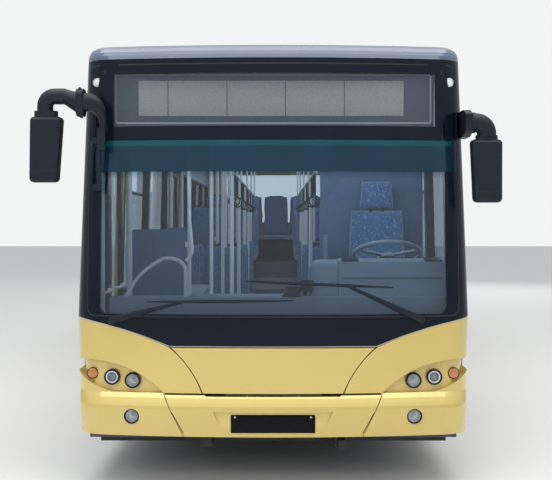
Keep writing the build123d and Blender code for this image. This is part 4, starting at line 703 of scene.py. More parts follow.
# Front: lamps, as x, y of the face, z, kind and length of the sleeve behind the face
front_lamps = [
    (1008.0, -bow_y(1008, 690, nose_setback, nose_bow) + 14, 690.0, "outer", 27),
    (876.0, -bow_y(876, 672, nose_setback, nose_bow) + 14, 672.0, "inner", 27),
    (875.0, -bow_y(875, 600, nose_setback, nose_bow) - 28, 458.0, "fog", 4),
]
rim_section = [(49.5, 2), (47.5, 5), (42, 5.5), (39, 2), (38.6, -3)]
flat_bowl = [(40.6, -0.5), (38, -6), (30, -8), (28.5, -22), (27.5, -22), (29, -5), (37, -3), (40, 0.5)]
deep_bowl = [
    (40.4, -1), (38.5, -9), (34.5, -17), (28.5, -24), (20.5, -29.5), (10, -32.5),
    (10, -31.5), (20, -28.5), (27.7, -23), (33.6, -16.2), (37.6, -8.6), (39.6, -1),
]
rings, bowls, lenses, projectors, bulbs = (bmesh.new() for _ in range(5))
for way in (1, -1):
    for x, y, z, kind, sleeve in front_lamps:
        spot = (way * x, y, z)
        ring = [(46.4, -sleeve), (49.5, -sleeve), *rim_section, (46.4, -3)]
        turned(rings, ring, spot, forward, 48, closed=True)
        if kind == "outer":
            turned(bowls, flat_bowl, spot, forward, 48, closed=True)
            turned(projectors, [(27.4, -22), *dome(27.4, 16, 10, -16)], (way * x, y, z + 1), forward, 40)
        else:
            turned(bowls, deep_bowl, spot, forward, 14, closed=True)
            turned(bulbs, [(8.5, -31.5), *dome(8.5, 8, 15, -12)], spot, forward, 20)
        lens = [(40.5, -2), *dome(40.5, 4.5), *reversed(dome(38.6, 3, 9, -0.4)), (38.6, -2)]
        turned(lenses, lens, spot, forward, 48, closed=True)
make_piece("headlamp_rings", rings, charcoal_abs)
make_piece("headlamp_reflectors", bowls, chromed_reflector, crease=18)
make_piece("headlamp_projectors", projectors, projector_glass)
make_piece("headlamp_bulbs", bulbs, frosted_bulb)
make_piece("headlamp_lenses", lenses, clear_lens)

indicator_x, indicator_z = 1136.0, 708.0
indicator_y = -bow_y(indicator_x, indicator_z, nose_setback, nose_bow) + 40 - 0.6
indicator_rim = [(33.2, -20), (36, -20), (36, 4), (34.6, 5), (33.2, 4)]
marker_x, marker_z = 1120.0, 2545.0
marker_y = -bow_y(marker_x, marker_z, nose_setback, nose_bow) + 12
marker_rim = [(27.8, 0.3), (27.8, 4), (26, 5.5), (24.6, 4), (24.6, 0.3)]
amber, markers, marker_rims, indicator_rims = (bmesh.new() for _ in range(4))
for way in (1, -1):
    spot = (way * indicator_x, indicator_y, indicator_z)
    turned(amber, [(33, -22), *dome(33, 9)], spot, forward, 40)
    turned(indicator_rims, indicator_rim, spot, forward, 40, closed=True)
    spot = (way * marker_x, marker_y, marker_z)
    turned(markers, [(24, 0.2), *dome(24, 5, 15)], spot, forward, 32)
    turned(marker_rims, marker_rim, spot, forward, 32, closed=True)
make_piece("indicator_lenses", amber, amber_lens)
make_piece("indicator_rims", indicator_rims, charcoal_abs)
make_piece("marker_lenses", markers, frosted_bulb)
make_piece("marker_rims", marker_rims, bright_trim)

# Front: trims, seals and prints
cowl_rim = bmesh.new()
cowl_edge = through([(643.0, 890.0), (977.0, 1003.0), (1310.0, 1070.0)], 40)
cowl_edge = [(x, z) for x, z in cowl_edge if x < half_width(z) - 4]
for way in (1, -1):
    bead(cowl_rim, on(nose, [(way * x, z - 1.5) for x, z in cowl_edge]), 5, 2.2)
bead(cowl_rim, on(nose, line((-640, 888.5), (640, 888.5), 24)), 5, 2.2)
make_piece("cowl_rim", cowl_rim, bright_trim)

screen_seal = bmesh.new()
bead(screen_seal, on(nose, round_rect(-1168, 1168, 1072, 2652, 60)), 9, 2.5, closed=True)
make_piece("windscreen_seal", screen_seal, seal_rubber)

# Prints on the windscreen, as steps across and (low x, high x, low z, high z), and their lift off its glass
print_foot, print_top = 0.7, 1.5
display_frame = [
    (-1164, 1164, 2170.4, 2260),
    (-1164, 1164, 2593, 2648),
    (-1164, -1010, 2260, 2593),
    (1022, 1164, 2260, 2593),
]
prints = [
    ("screen_print", black_enamel, 40, display_frame),
    ("sun_band", sun_film, 48, [(-1164, 1164, 1974.0, 2136.6)]),
    # The sun band's brighter head line is painted highlight along the joint in the glass
    ("sun_band_line", sun_line_painted_highlight, 48, [(-1164, 1164, 2137.0, 2170.0)]),
]
for name, finish, steps, patches in prints:
    form = bmesh.new()
    for low_x, high_x, low, high in patches:
        loops = []
        for x in spread(low_x, high_x, steps):
            (p, a), (q, b) = on(nose, [(x, low), (x, high)])
            loops.append([p + a * print_foot, q + b * print_foot, q + b * print_top, p + a * print_top])
        skin(form, loops)
    make_piece(name, form, finish)


def plate_rim(name, y, foot, out, finish):
    """The folded edge round a blank number plate."""
    form = bmesh.new()
    bead(form, in_plane(round_rect(-256, 256, foot, foot + 104, 8), 1, y, out), 6, 1.8, closed=True)
    make_piece(name, form, finish)


def screw_head(tree, given):
    """A domed screw head."""
    head = add(tree, "GeometryNodeMeshUVSphere", [("Radius", given["radius"])], Segments=14, Rings=7)
    squash = add(tree, "ShaderNodeCombineXYZ", X=1.0, Y=1.0, Z=0.42)
    links = [("Geometry", head.outputs[0]), ("Scale", squash.outputs[0])]
    return add(tree, "GeometryNodeTransform", links).outputs[0]


front_plate_y, front_plate_z, rear_plate_z = front_y + 34, 416, 1500
plate_rim("front_plate_rim", front_plate_y, front_plate_z - 52, forward, plate_black)
screws = [((way * 234.0, front_plate_y, front_plate_z + 42), to_z(forward)) for way in (1, -1)]
screws += [((way * 200.0, rear_y + 4.3, rear_plate_z + 42), to_z(back)) for way in (1, -1)]
copies("plate_screws", screws, screw_head, bright_trim, radius=7)

latch_bar = bmesh.new()
bar(latch_bar, [nose(x, 590) + Vector((0, 26, 0)) for x in spread(-300, 300, 16)], 5, 8)
make_piece("flap_latch_bar", latch_bar, olive_primer)

# Front: dark joints in the bumper's split grooves, laid on what a ray from ahead meets
bumper_skin = BVHTree.FromObject(nodes["front_bumper"], bpy.context.evaluated_depsgraph_get())
split_foot, split_top = (555.0, 352.0), (676.0, 588.0)
joints = bmesh.new()
for way in (1, -1):
    run = []
    for x, z in line(split_foot, split_top, 24):
        hit = bumper_skin.ray_cast(Vector((way * x, front_y - 500, z)) / 1000, Vector(back))[0]
        run.append(Vector((way * x, hit.y * 1000, z)))
    bar(joints, run, 2.6, 8)
make_piece("bumper_joints", joints, seal_rubber)


def off_glass(x, z, lift):
    """A point ahead of the windscreen."""
    return on(nose, [(x, z)], lift)[0][0]


# Front: wipers, the kerb side's first, as (x, z) of the hub, the arm's end and the blade's two ends
wipers = [
    ((-1005.0, 1045.0), (-572.0, 1160.0), (-778.0, 1163.0), (125.0, 1173.0)),
    ((922.0, 1048.0), (454.0, 1265.0), (-164.0, 1292.0), (743.0, 1252.0)),
]
# Along the arm: share of its length, lift off the glass, half width
arm_stations = [
    (0, 27, 21), (0.1, 30, 22), (0.3, 31, 19), (0.5, 31, 15), (0.7, 30, 12), (0.9, 27, 10), (1.0, 24, 8),
]
hub_profile = [(24, 1), (24, 16), (20, 24), (15, 30), (12, 32), (0.01, 33)]
arms, rubbers = bmesh.new(), bmesh.new()
for hub, arm_end, blade_a, blade_b in wipers:
    turned(arms, hub_profile, off_glass(*hub, 0), forward, 28)
    reach_x, reach_z = arm_end[0] - hub[0], arm_end[1] - hub[1]
    run = [(hub[0] + reach_x * t, hub[1] + reach_z * t) for t, _, _ in arm_stations]
    arm = [off_glass(*p, lift) for p, (_, lift, _) in zip(run, arm_stations)]
    bar(arms, arm, [wide for _, _, wide in arm_stations], 12, flat=0.42, up=forward)
    bar(arms, [off_glass(*p, 39) for p in run[1:5]], 2.6, 8)
    blade = line(blade_a, blade_b, 30)
    swell = [math.sin(math.pi * i / 30) for i in range(31)]
    bow = [off_glass(*p, 13 + 5 * s) for p, s in zip(blade, swell)]
    bar(arms, bow, [4 + 6 * s for s in swell], 8, flat=0.8, up=forward)
    block(arms, off_glass(*arm_end, 17), (34, 16, 22), 4)
    bar(rubbers, [off_glass(*p, 5.5) for p in blade], 4.6, 6, flat=1.2, up=forward)
wiper_arms = make_piece("wiper_arms", arms, charcoal_abs)
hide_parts("wipers")
make_piece("wiper_rubbers", rubbers, seal_rubber)

# Front: mirror panes and seams, as x, width and z of a housing's top, then of its foot
mirror_y, half_deep = front_y + 175, 56
kerb_arm_x, driver_arm_x = -1212.3, 1214.9
housings = [
    (kerb_arm_x - 201, 201.0, 2315.0, kerb_arm_x - 219, 177.0, 1906.0),
    (driver_arm_x + 115, 193.0, 2173.0, driver_arm_x + 125, 174.0, 1780.0),
]
inset, pane_thick, seam_rise = 38.5, 3.2, 64
seams, panes = bmesh.new(), bmesh.new()
for top_x, top_wide, top_z, low_x, low_wide, low_z in housings:
    outline = [
        (low_x - low_wide / 2 + inset, low_z + inset),
        (low_x + low_wide / 2 - inset, low_z + inset),
        (top_x + top_wide / 2 - inset, top_z - inset),
        (top_x - top_wide / 2 + inset, top_z - inset),
    ]
    face = [Vector((x, mirror_y + half_deep - 4.8, z)) for x, z in outline]
    skin(panes, [face, [p + Vector((0, pane_thick, 0)) for p in face]])
    # The housing's parting line, above its foot
    share = seam_rise / (top_z - low_z)
    z = low_z + seam_rise
    middle = low_x + (top_x - low_x) * share
    wide = low_wide + (top_wide - low_wide) * share
    loop = round_rect(middle - wide / 2, middle + wide / 2, mirror_y - half_deep, mirror_y + half_deep, 26)
    centre = Vector((middle, mirror_y, z))
    ring = [Vector((x, y, z)) for x, y in loop]
    bead(seams, [(point, (point - centre).normalized()) for point in ring], 3, 1.2, closed=True)
make_piece("mirror_panes", panes, mirror_silver)
make_piece("mirror_seams", seams, seal_rubber)


def hex_head(tree, given):
    """A hexagon head on a round washer."""
    links = [("Radius", given["washer"]), ("Depth", given["thin"])]
    washer = add(tree, "GeometryNodeMeshCylinder", links, Vertices=18)
    links = [("Radius", given["across"]), ("Depth", given["tall"])]
    head = add(tree, "GeometryNodeMeshCylinder", links, Vertices=6)
    return add(tree, "GeometryNodeJoinGeometry", [(0, washer.outputs[0]), (0, head.outputs[0])]).outputs[0]


bolts = []
for up in (1, -1):
    bolts += [((-1202.0, mirror_y + dy, 2403 + up * 85), to_z((0, 0, up))) for dy in (-40, 0, 40)]
bolts += [((driver_arm_x + 26, mirror_y + dy, z), to_z((1, 0, 0))) for z in (2330, 2226) for dy in (30, 180)]
copies("mirror_bolts", bolts, hex_head, charcoal_abs, washer=9, thin=3, across=7, tall=14)

# Wheels, as name, x of each tyre from the outside in, y of the axle, way out
front_axle_y, rear_axle_y, axle_z = -3275.0, 2600.0, 479.0
wheel_spots = [
    ("front_left", [1082.0], front_axle_y, 1),
    ("front_right", [-1082.0], front_axle_y, -1),
    ("rear_left", [1082.0, 770.0], rear_axle_y, 1),
    ("rear_right", [-1082.0, -770.0], rear_axle_y, -1),
]
# Half of a tyre's section, as radius and distance from its middle: bead, wall, shoulder and grooved tread
half_section = [
    (286, 100), (292, 112), (310, 124), (340, 134), (372, 137.6), (385, 138), (404, 137), (428, 132.5),
    (431, 134), (440, 131.5), (452, 126.5), (464, 122.5), (474, 117), (478, 108), (479, 98), (479, 74),
    (468, 72), (468, 62), (479, 60), (479, 36), (468, 34), (468, 25), (479, 23), (479, 2.0),
]
tyre_section = [(r, -w) for r, w in half_section] + [(r, w) for r, w in reversed(half_section)]
cap_profile = [(70, 0), (70, 12), (64, 22), (48, 28), (46, 24), (20, 26), (0.01, 27)]
tread_blocks, nut_circle = 120, 160
for name, places, y, way in wheel_spots:
    tyre = bmesh.new()
    body = body_with("tyre_" + name)
    for x in places:
        loops = []
        for i in range(tread_blocks):
            a = 2 * math.pi * i / tread_blocks
            loop = []
            for radius, wide in tyre_section:
                if abs(wide) > 90 and radius > 450 and i % 3 == 0:
                    radius -= 9
                if 30 < abs(wide) < 80 and radius > 475 and i % 4 == 0:
                    radius -= 4
                loop.append((x + wide, y + radius * math.cos(a), axle_z + radius * math.sin(a)))
            loops.append(loop)
        skin(tyre, loops, closed=True)
    piece = make_piece("tread_" + name, tyre, tyre_rubber, body, crease=28)
    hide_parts("tyre_" + name)
    # A single wheel's disc stands out of its rim, and a twin's outer one lies back in it
    nut_x, hub_x = (places[0] + way * reach for reach in ((84, 100) if len(places) == 1 else (-84, 60)))
    nuts = []
    for i in range(10):
        a = 2 * math.pi * i / 10
        spot = (nut_x, y + nut_circle * math.cos(a), axle_z + nut_circle * math.sin(a))
        nuts.append((spot, to_z((way, 0, 0))))
    copies("wheel_nuts_" + name, nuts, hex_head, bright_trim, body, washer=21, thin=8, across=16, tall=46)
    cap = bmesh.new()
    turned(cap, cap_profile, (hub_x, y, axle_z), (way, 0, 0), 40)
    make_piece("hub_cap_" + name, cap, silver_enamel, body)

# Sides: windows, as rows of (front edge, rear edge, panes) on each side, with pillars between the panes
sill_z, head_z, pillar, glass_corner = 1120, 2240, 80, 45
window_rows = {
    1: [(-4210.0, 5500.0, 6)],
    -1: [(-4130.0, -1042.0, 2), (368.0, 5500.0, 4)],
}
driver_window = (-5400.0, -4290.0, 1010.0)
side_panes = {1: [], -1: []}
for way, rows in window_rows.items():
    for low, high, count in rows:
        pitch = (high - low + pillar) / count
        for i in range(count):
            side_panes[way].append((low + i * pitch, low + (i + 1) * pitch - pillar, sill_z, i))
seals, window_bars = bmesh.new(), bmesh.new()
for way, surface in both_sides:
    for low, high, foot, i in side_panes[way]:
        bead(seals, on(surface, round_rect(low, high, foot, head_z, glass_corner)), 13, 2.6, closed=True)
        if i % 2 == 0:
            bead(window_bars, on(surface, line((low + 8, 1905), (high - 8, 1905), 6), -9), 26, 7)
low, high, foot = driver_window
bead(seals, on(left_side, round_rect(low, high, foot, head_z, glass_corner)), 13, 2.6, closed=True)
bead(window_bars, on(left_side, line((-4840, foot + 4), (-4840, head_z - 4), 6), -9), 24, 7)
make_piece("side_window_seals", seals, seal_rubber)
make_piece("side_window_bars", window_bars, charcoal_abs)

# Sides: arch lips and liners, panel seams, rain gutters and side reflectors
lip_reach, arch_depth = 9, 140
arch_lips = bmesh.new()
for way, surface in both_sides:
    for axle_y, radius in ((front_axle_y, 560.0), (rear_axle_y, 530.0)):
        start = math.asin(-arch_depth / radius)
        reach = radius + lip_reach
        angles = [start + (math.pi - 2 * start) * i / 40 for i in range(41)]
        arch = [(axle_y + reach * math.cos(a), axle_z + reach * math.sin(a)) for a in angles]
        bead(arch_lips, on(surface, arch), 20, 5)
make_piece("wheel_arch_lips", arch_lips, seal_rubber)

liners = bmesh.new()
for way in (1, -1):
    for dy in (-530, 530):
        block(liners, (way * 520, rear_axle_y + dy, 530), (6, 460, 394), 2)
make_piece("wheel_arch_liners", liners, chassis_black)

panel_runs = {
    1: [(-5478, -3900), (-2650, 2010), (3190, 5660)],
    -1: [(-2650, -1000), (320, 2010), (3190, 5660)],
}
flap_seam_z, belt_seam_z, roof_seam_z, panel_length = 640, 1090, 2684, 1100
seams = bmesh.new()
for way, surface in both_sides:
    for low, high in panel_runs[way]:
        for z in (flap_seam_z, belt_seam_z):
            bead(seams, on(surface, line((low, z), (high, z), 8)), 4, 0.5)
        for y in spread(low, high, max(1, round((high - low) / panel_length))):
            bead(seams, on(surface, line((y, 336), (y, 1088), 4)), 4, 0.5)
    bead(seams, on(surface, line((-5470, roof_seam_z), (5655, roof_seam_z), 20)), 5, 0.6)
make_piece("side_panel_seams", seams, seal_rubber)

gutters = bmesh.new()
for way, surface in both_sides:
    bead(gutters, on(surface, line((-5400, 2650), (5600, 2650), 20)), 22, 9)
make_piece("rain_gutters", gutters, slate_enamel)

reflector_z = 560
reflector_spots = {1: [-5300.0, -1700.0, 1300.0, 4600.0], -1: [-2100.0, 900.0, 4600.0]}
reflectors = bmesh.new()
for way, spots in reflector_spots.items():
    for y in spots:
        block(reflectors, (way * half_width(reflector_z) + way * 2, y, reflector_z), (5, 90, 36), 2.2)
make_piece("side_reflectors", reflectors, amber_lens)

# Door leaves: rubber edges, inner handles and glass seals, by the y of the post and the leaf's way from it
leaf_posts = [
    ("front_door_front", -5487.0, 1),
    ("front_door_rear", -4183.0, -1),
    ("middle_door_front", -989.0, 1),
    ("middle_door_rear", 315.0, -1),
]
for name, post_y, way in leaf_posts:
    near, meeting = post_y + way * 42.0, post_y + way * 647.0
    low, high = min(near, meeting), max(near, meeting)
    body = body_with(name + "_leaf")
    edges, handle = bmesh.new(), bmesh.new()
    glass_edge = in_plane(round_rect(low + 60, high - 60, 426, 2186, 30), 0, -1206.5, (-1, 0, 0))
    bead(edges, glass_edge, 14, 1.8, closed=True)
    block(edges, (-1188.5, meeting - way * 5, 1306), (24, 8, 1868), 3)
    make_piece(name + "_seals", edges, seal_rubber, body)
    hand_y = (low + high) / 2
    grip = [(-1171, -190), (-1129, -190), (-1129, 190), (-1171, 190)]
    bar(handle, rounded([(x, hand_y + dy, 1180) for x, dy in grip], 30, 6), 11, 12)
    make_piece(name + "_handle", handle, powder_coat, body)

# Rear: window seal, lamps and plate
rear_seal = bmesh.new()
bead(rear_seal, on(tail, round_rect(-875, 875, 1640, 2470, 60)), 16, 3.2, closed=True)
make_piece("rear_window_seal", rear_seal, seal_rubber)
lamp_rim = [(50.8, -4), (56, -4), (56, 1), (53, 4), (50, 2), (49.4, 0.3)]
lamp_rims, red_domes, amber_domes, clear_domes = (bmesh.new() for _ in range(4))
rear_lamp_x = 1040
for way in (1, -1):
    for z, target in ((760, red_domes), (890, amber_domes), (1020, clear_domes)):
        spot = (way * rear_lamp_x, bow_y(rear_lamp_x, z, tail_setback, tail_bow) + 6, z)
        turned(target, [(49, 0.2), *dome(49, 7)], spot, back, 40)
        turned(lamp_rims, lamp_rim, spot, back, 40, closed=True)
make_piece("rear_lamp_rims", lamp_rims, charcoal_abs)
make_piece("rear_red_lenses", red_domes, red_lens)
make_piece("rear_amber_lenses", amber_domes, amber_lens)
make_piece("rear_clear_lenses", clear_domes, frosted_bulb)
plate_rim("rear_plate_rim", tail(0, 1444).y + 4.6, rear_plate_z - 52, back, bright_trim)


# Rear: engine lid
def louvre(tree, given):
    """One slat with a slanted face."""
    links = [("X", given["length"]), ("Y", given["chord"]), ("Z", given["thickness"])]
    size = add(tree, "ShaderNodeCombineXYZ", links)
    slat = add(tree, "GeometryNodeMeshCube", [("Size", size.outputs[0])])
    tilt = add(tree, "ShaderNodeCombineXYZ", X=math.radians(-38))
    links = [("Geometry", slat.outputs[0]), ("Rotation", tilt.outputs[0])]
    return add(tree, "GeometryNodeTransform", links).outputs[0]


grille_x, slat_count, slat_pitch, grille_foot = 420.0, 11, 42, 536
slats = []
for i in range(slat_count):
    for x in (-grille_x, grille_x):
        z = 560 + i * slat_pitch
        slats.append(((x, tail(abs(x), z).y + 2, z), (0, 0, -x / tail_bow)))
copies("engine_lid_louvres", slats, louvre, gold_enamel, "engine_lid", length=640, chord=22, thickness=4)
grille_frames = bmesh.new()
for x in (-grille_x, grille_x):
    bead(grille_frames, on(tail, round_rect(x - 332, x + 332, grille_foot, 1004, 20)), 16, 6, closed=True)
make_piece("engine_lid_grille_frames", grille_frames, charcoal_abs, "engine_lid")
locks = bmesh.new()
for x in (-600.0, 600.0):
    turned(locks, [(34, 0), (34, 3), (28, 5), (26, 2), (0.01, 2)], tail(x, 470), back, 28)
    block(locks, tail(x, 470) + Vector((0, 5, 0)), (40, 8, 12), 3)
make_piece("engine_lid_locks", locks, charcoal_abs, "engine_lid")

# Roof: hinges and edge seals of the hatches
hatch_hinges = bmesh.new()
for y in (front_y + 3625, rear_y - 3875):
    for x in (-200, 200):
        block(hatch_hinges, (x, y - 372, crown_z + 22), (70, 26, 16), 4)
    hatch_edge = in_plane(round_rect(-255, 255, y - 335, y + 335, 60), 2, crown_z + 34.2, upright)
    bead(hatch_hinges, hatch_edge, 16, 2.5, closed=True)
make_piece("roof_hatch_hinges", hatch_hinges, charcoal_abs)


# Inside: window reveals, linings, ceiling and its lamps
def lining_on(form, surface, low, high, bottom, top, thick=4, steps=4):
    """A lining sheet parallel to a side, its face 60.4 mm under the side's skin."""
    face = 60.4
    loops = []
    for y in spread(low, high, steps):
        (p, a), (q, b) = on(surface, [(y, bottom), (y, top)])
        loops.append([p - a * face, q - b * face, q - b * (face + thick), p - a * (face + thick)])
    skin(form, loops)


# Linings under the windows, between arches and doors: from y, to y, foot z, head z
lower_linings = [
    (-5470, -4250, 350, 996),
    (-4249, -3850, 350, 1103),
    (-3849, -2700, 1000, 1103),
    (-2650, 1148, 350, 1103),
    (1149, 2010, 790, 1103),
    (2011, 3189, 1000, 1103),
    (3190, 4345, 790, 1103),
    (4346, 5640, 1010, 1103),
]
reveal_section = [(1, -3), (-4, -3), (-4, -66), (16, -66), (16, -61), (1, -61)]
lined_runs = {1: [(-5470.0, 5640.0)], -1: [(-4170.0, -1002.0), (328.0, 5640.0)]}
side_panes[1].insert(0, (*driver_window, 0))
reveals, linings = bmesh.new(), bmesh.new()
for way, surface in both_sides:
    section = [(way * across, out) for across, out in reveal_section]
    for low, high, foot, _ in side_panes[way]:
        strip(reveals, on(surface, round_rect(low, high, foot, head_z, glass_corner)), section, closed=True)
    for low, high in lined_runs[way]:
        lining_on(linings, surface, low, high, 2256, 2660)
        within = [pane for pane in side_panes[way] if pane[0] >= low - 60 and pane[1] <= high + 60]
        for one, other in zip(within, within[1:]):
            lining_on(linings, surface, one[1] + 17, other[0] - 17, 1104, 2255, thick=3, steps=1)
        for start, end, foot, head in lower_linings:
            start, end = max(start, low), min(end, high)
            if end - start > 60:
                lining_on(linings, surface, start, end, foot, head)
make_piece("window_reveals", reveals, charcoal_abs)
make_piece("side_linings", linings, lining_laminate)

ceiling_half, ceiling_z, ceiling_rise, ceiling_thick = 1070, 2722, 20, 5
ceiling = bmesh.new()
loops = []
for y in spread(-5400, 5600, 22):
    across = spread(-ceiling_half, ceiling_half, 24)
    low_z = ceiling_z - ceiling_thick
    top = [(x, y, ceiling_z - ceiling_rise * (x / ceiling_half) ** 2) for x in across]
    loops.append(top + [(x, y, low_z - ceiling_rise * (x / ceiling_half) ** 2) for x in reversed(across)])
skin(ceiling, loops)
make_piece("ceiling_panels", ceiling, lining_laminate)
lights = bmesh.new()
for x in (-700.0, 700.0):
    for i in range(8):
        block(lights, (x, -4700 + i * 1300, 2704), (150, 1180, 18), 7)
make_piece("ceiling_lights", lights, opal_acrylic)

# Inside: screens beside the doors, with their posts, and the rails that show through the windscreen
deck_z, rail_top = 342, 2704
screens, rails = bmesh.new(), bmesh.new()
for y, low_x, high_x in ((-3985.0, -1160.0, -700.0), (-1120.0, -1150.0, -640.0)):
    corners = [(low_x, y, 380), (high_x, y, 380), (high_x, y, 1600), (low_x, y, 1600)]
    outline = rounded(corners, 70, 6, closed=True)
    skin(screens, [[p + Vector((0, dy, 0)) for p in outline] for dy in (-9, 9)])
    bar(rails, [(high_x + 24, y, deck_z), (high_x + 24, y, 2700)], 17, 14)
    for z in (560, 1480):
        block(rails, (high_x + 8, y, z), (34, 26, 44), 6)
make_piece("door_screens", screens, blue_laminate)
arched_rail = [(-945, 1176), (-860, 1320), (-690, 1440), (-560, 1400), (-560, 1176)]
bar(rails, rounded([(x, -5655, z) for x, z in arched_rail], 110, 8), 12, 14)
bent_pole = [(-640, rail_top), (-625, 1700), (-600, 1420), (-650, 1370)]
bar(rails, rounded([(x, -4600, z) for x, z in bent_pole], 60, 5), 13, 12)
for x, y in ((-480.0, -4300.0), (-455.0, -3100.0)):
    bar(rails, [(x, y, deck_z), (x, y, rail_top)], 15, 14)
# Front edge and floor height of the seat rows on the low floor, which carry poles, and on the decks behind
low_rows = [(-2560.0, 340.0), (-1840.0, 340.0), (420.0, 340.0)]
deck_rows = [(1560.0 + 715 * i, 780.0) for i in range(4)] + [(4440.0, 1000.0)]
for y, base in low_rows:
    for x in (-255.0, 255.0):
        bar(rails, [(x * 1.9, y + 560, base + 1060), (x * 1.9, y + 560, rail_top)], 14, 12)
make_piece("stanchions", rails, powder_coat)


def strap(tree, given):
    """A hanging grip: a flat strap with a ring under it."""
    links = [("X", given["width"]), ("Y", given["thickness"]), ("Z", given["drop"])]
    size = add(tree, "ShaderNodeCombineXYZ", links)
    web = add(tree, "GeometryNodeMeshCube", [("Size", size.outputs[0])], Vertices_Z=4)
    hoop = add(tree, "GeometryNodeCurvePrimitiveCircle", [("Radius", given["ring"])], Resolution=20)
    section = add(tree, "GeometryNodeCurvePrimitiveCircle", [("Radius", given["grip"])], Resolution=8)
    links = [("Curve", hoop.outputs[0]), ("Profile Curve", section.outputs[0])]
    grip = add(tree, "GeometryNodeCurveToMesh", links)
    turn = add(tree, "ShaderNodeCombineXYZ", X=math.pi / 2)
    drop = add(tree, "ShaderNodeCombineXYZ", Z=-0.125)
    links = [("Geometry", grip.outputs[0]), ("Rotation", turn.outputs[0]), ("Translation", drop.outputs[0])]
    hung = add(tree, "GeometryNodeTransform", links)
    return add(tree, "GeometryNodeJoinGeometry", [(0, web.outputs[0]), (0, hung.outputs[0])]).outputs[0]


grips = [((way * 330.0, -3700 + 560 * i, 1955.0), (0, 0, 0)) for way in (1, -1) for i in range(12)]
copies("hanging_grips", grips, strap, charcoal_abs, width=26, thickness=3, drop=170, ring=44, grip=6)


# Seats. A pad narrows towards its top by taper, and its edges pull in between its corners by these shares.
side_pull, end_pull = 0.022, 0.02


def upholstery(form, matrix, width, length, thick, channels=(), taper=1.0):
    """A crowned closed pad: its sides pull in between the corners, and sewn channels dip across it."""

    def height(u, v):
        edge = max(0.0, 1 - abs(u) ** 7) ** 0.42 * max(0.0, 1 - abs(v) ** 7) ** 0.42
        crown = 0.8 + 0.2 * (1 - u * u) * (1 - v * v)
        dip = sum(5.5 * math.exp(-(((v - c) / 0.05) ** 2)) for c in channels)
        return max(0.0, thick * edge * crown - dip * edge)

    cells_across = 20
    steps = [math.sin(math.pi / 2 * (2 * i / cells_across - 1)) for i in range(cells_across + 1)]
    top, low = {}, {}
    for i, u in enumerate(steps):
        for j, v in enumerate(steps):
            wide = width / 2 * (1 + (taper - 1) * (v + 1) / 2)
            x = wide * u * (1 - side_pull * (1 - v * v) * u * u)
            y = length / 2 * v * (1 - end_pull * (1 - u * u) * v * v)
            top[i, j] = form.verts.new(matrix @ Vector((x, y, height(u, v))))
            rim = i in (0, cells_across) or j in (0, cells_across)
            low[i, j] = top[i, j] if rim else form.verts.new(matrix @ Vector((x, y, -0.8)))
    for i in range(cells_across):
        for j in range(cells_across):
            form.faces.new((top[i, j], top[i + 1, j], top[i + 1, j + 1], top[i, j + 1]))
            form.faces.new((low[i, j], low[i, j + 1], low[i + 1, j + 1], low[i + 1, j]))


def piping(form, matrix, width, length, lift, radius, taper=1.0):
    """Welt piping round the foot of a pad."""
    path = []
    for i in range(56):
        u, v = math.cos(2 * math.pi * i / 56), math.sin(2 * math.pi * i / 56)
        power = (abs(u) ** 8 + abs(v) ** 8) ** (1 / 8)
        u, v = u / power, v / power
        wide = width / 2 * (1 + (taper - 1) * (v + 1) / 2)
        x = wide * u * (1 - side_pull * (1 - v * v))
        y = length / 2 * v * (1 - end_pull * (1 - u * u))
        path.append(matrix @ Vector((x, y, lift)))
    bar(form, path, radius, 6, closed=True)


def seat_shell(form, matrix, foot_half, top_half, foot, top, corner, steps, back_face):
    """A flat shell with rounded corners, from a face behind a pad up to just under it."""
    corners = [(-foot_half, foot, 0), (foot_half, foot, 0), (top_half, top, 0), (-top_half, top, 0)]
    outline = rounded(corners, corner, steps, closed=True)
    skin(form, [[matrix @ (p + Vector((0, 0, depth))) for p in outline] for depth in (back_face, -1.5)])


def lean(up):
    """A frame whose Y runs up a backrest and whose Z faces forward, to the sitter."""
    up = Vector(up).normalized()
    face = (Vector(forward) - up * up.dot(Vector(forward))).normalized()
    return Matrix((up.cross(face), up, face)).transposed().to_4x4()


def padded_piece(name, form):
    piece = make_piece(name, form, blue_moquette, crease=60)
    return piece


# Passenger seats, as the middle x, front y and floor height of each
seats = []
for y, base in low_rows + deck_rows:
    seats += [(way * 710.0 + dx, y, base) for way in (1, -1) for dx in (-230.0, 230.0)]
seats += [(440.0 * i, 5150.0, 1000.0) for i in range(-2, 3)]
cushion_tilt = Matrix.Rotation(-math.atan2(20, 430), 4, "X")
back_run = Vector((0, 90, 730)).normalized()
hand_grip = [(-120, 300, -4), (-120, 338, -6), (120, 338, -6), (120, 300, -4)]
cushions, backs, shells, welts, frames = (bmesh.new() for _ in range(5))
for x, y, base in seats:
    top, rear = base + 450, y + 430
    cushion_at = Matrix.Translation((x, y + 214, top - 74)) @ cushion_tilt
    upholstery(cushions, cushion_at, 424, 416, 64, channels=(-0.3, 0.35))
    piping(welts, cushion_at, 424, 416, 3, 4)
    back_at = Matrix.Translation(Vector((x, rear + 47, top - 90)) + back_run * 400) @ lean(back_run)
    upholstery(backs, back_at, 420, 650, 44, channels=(-0.45, 0.1, 0.62), taper=0.9)
    piping(welts, back_at, 420, 650, 2, 4, taper=0.9)
    seat_shell(shells, back_at, 214, 194, -392, 330, 60, 6, -12)
    seat_shell(shells, cushion_at, 214, 214, -208, 208, 36, 5, -10)
    bar(frames, rounded([back_at @ Vector(p) for p in hand_grip], 24, 5), 9, 10)
for y, base in low_rows + deck_rows:
    for way in (1, -1):
        block(frames, (way * 440.0, y + 215, base + 6), (190, 230, 10), 4)
        block(frames, (way * 440.0, y + 215, base + 186), (70, 90, 352), 14)
        for dy in (50, 350):
            block(frames, (way * 700, y + dy, base + 352), (880, 34, 26), 6)
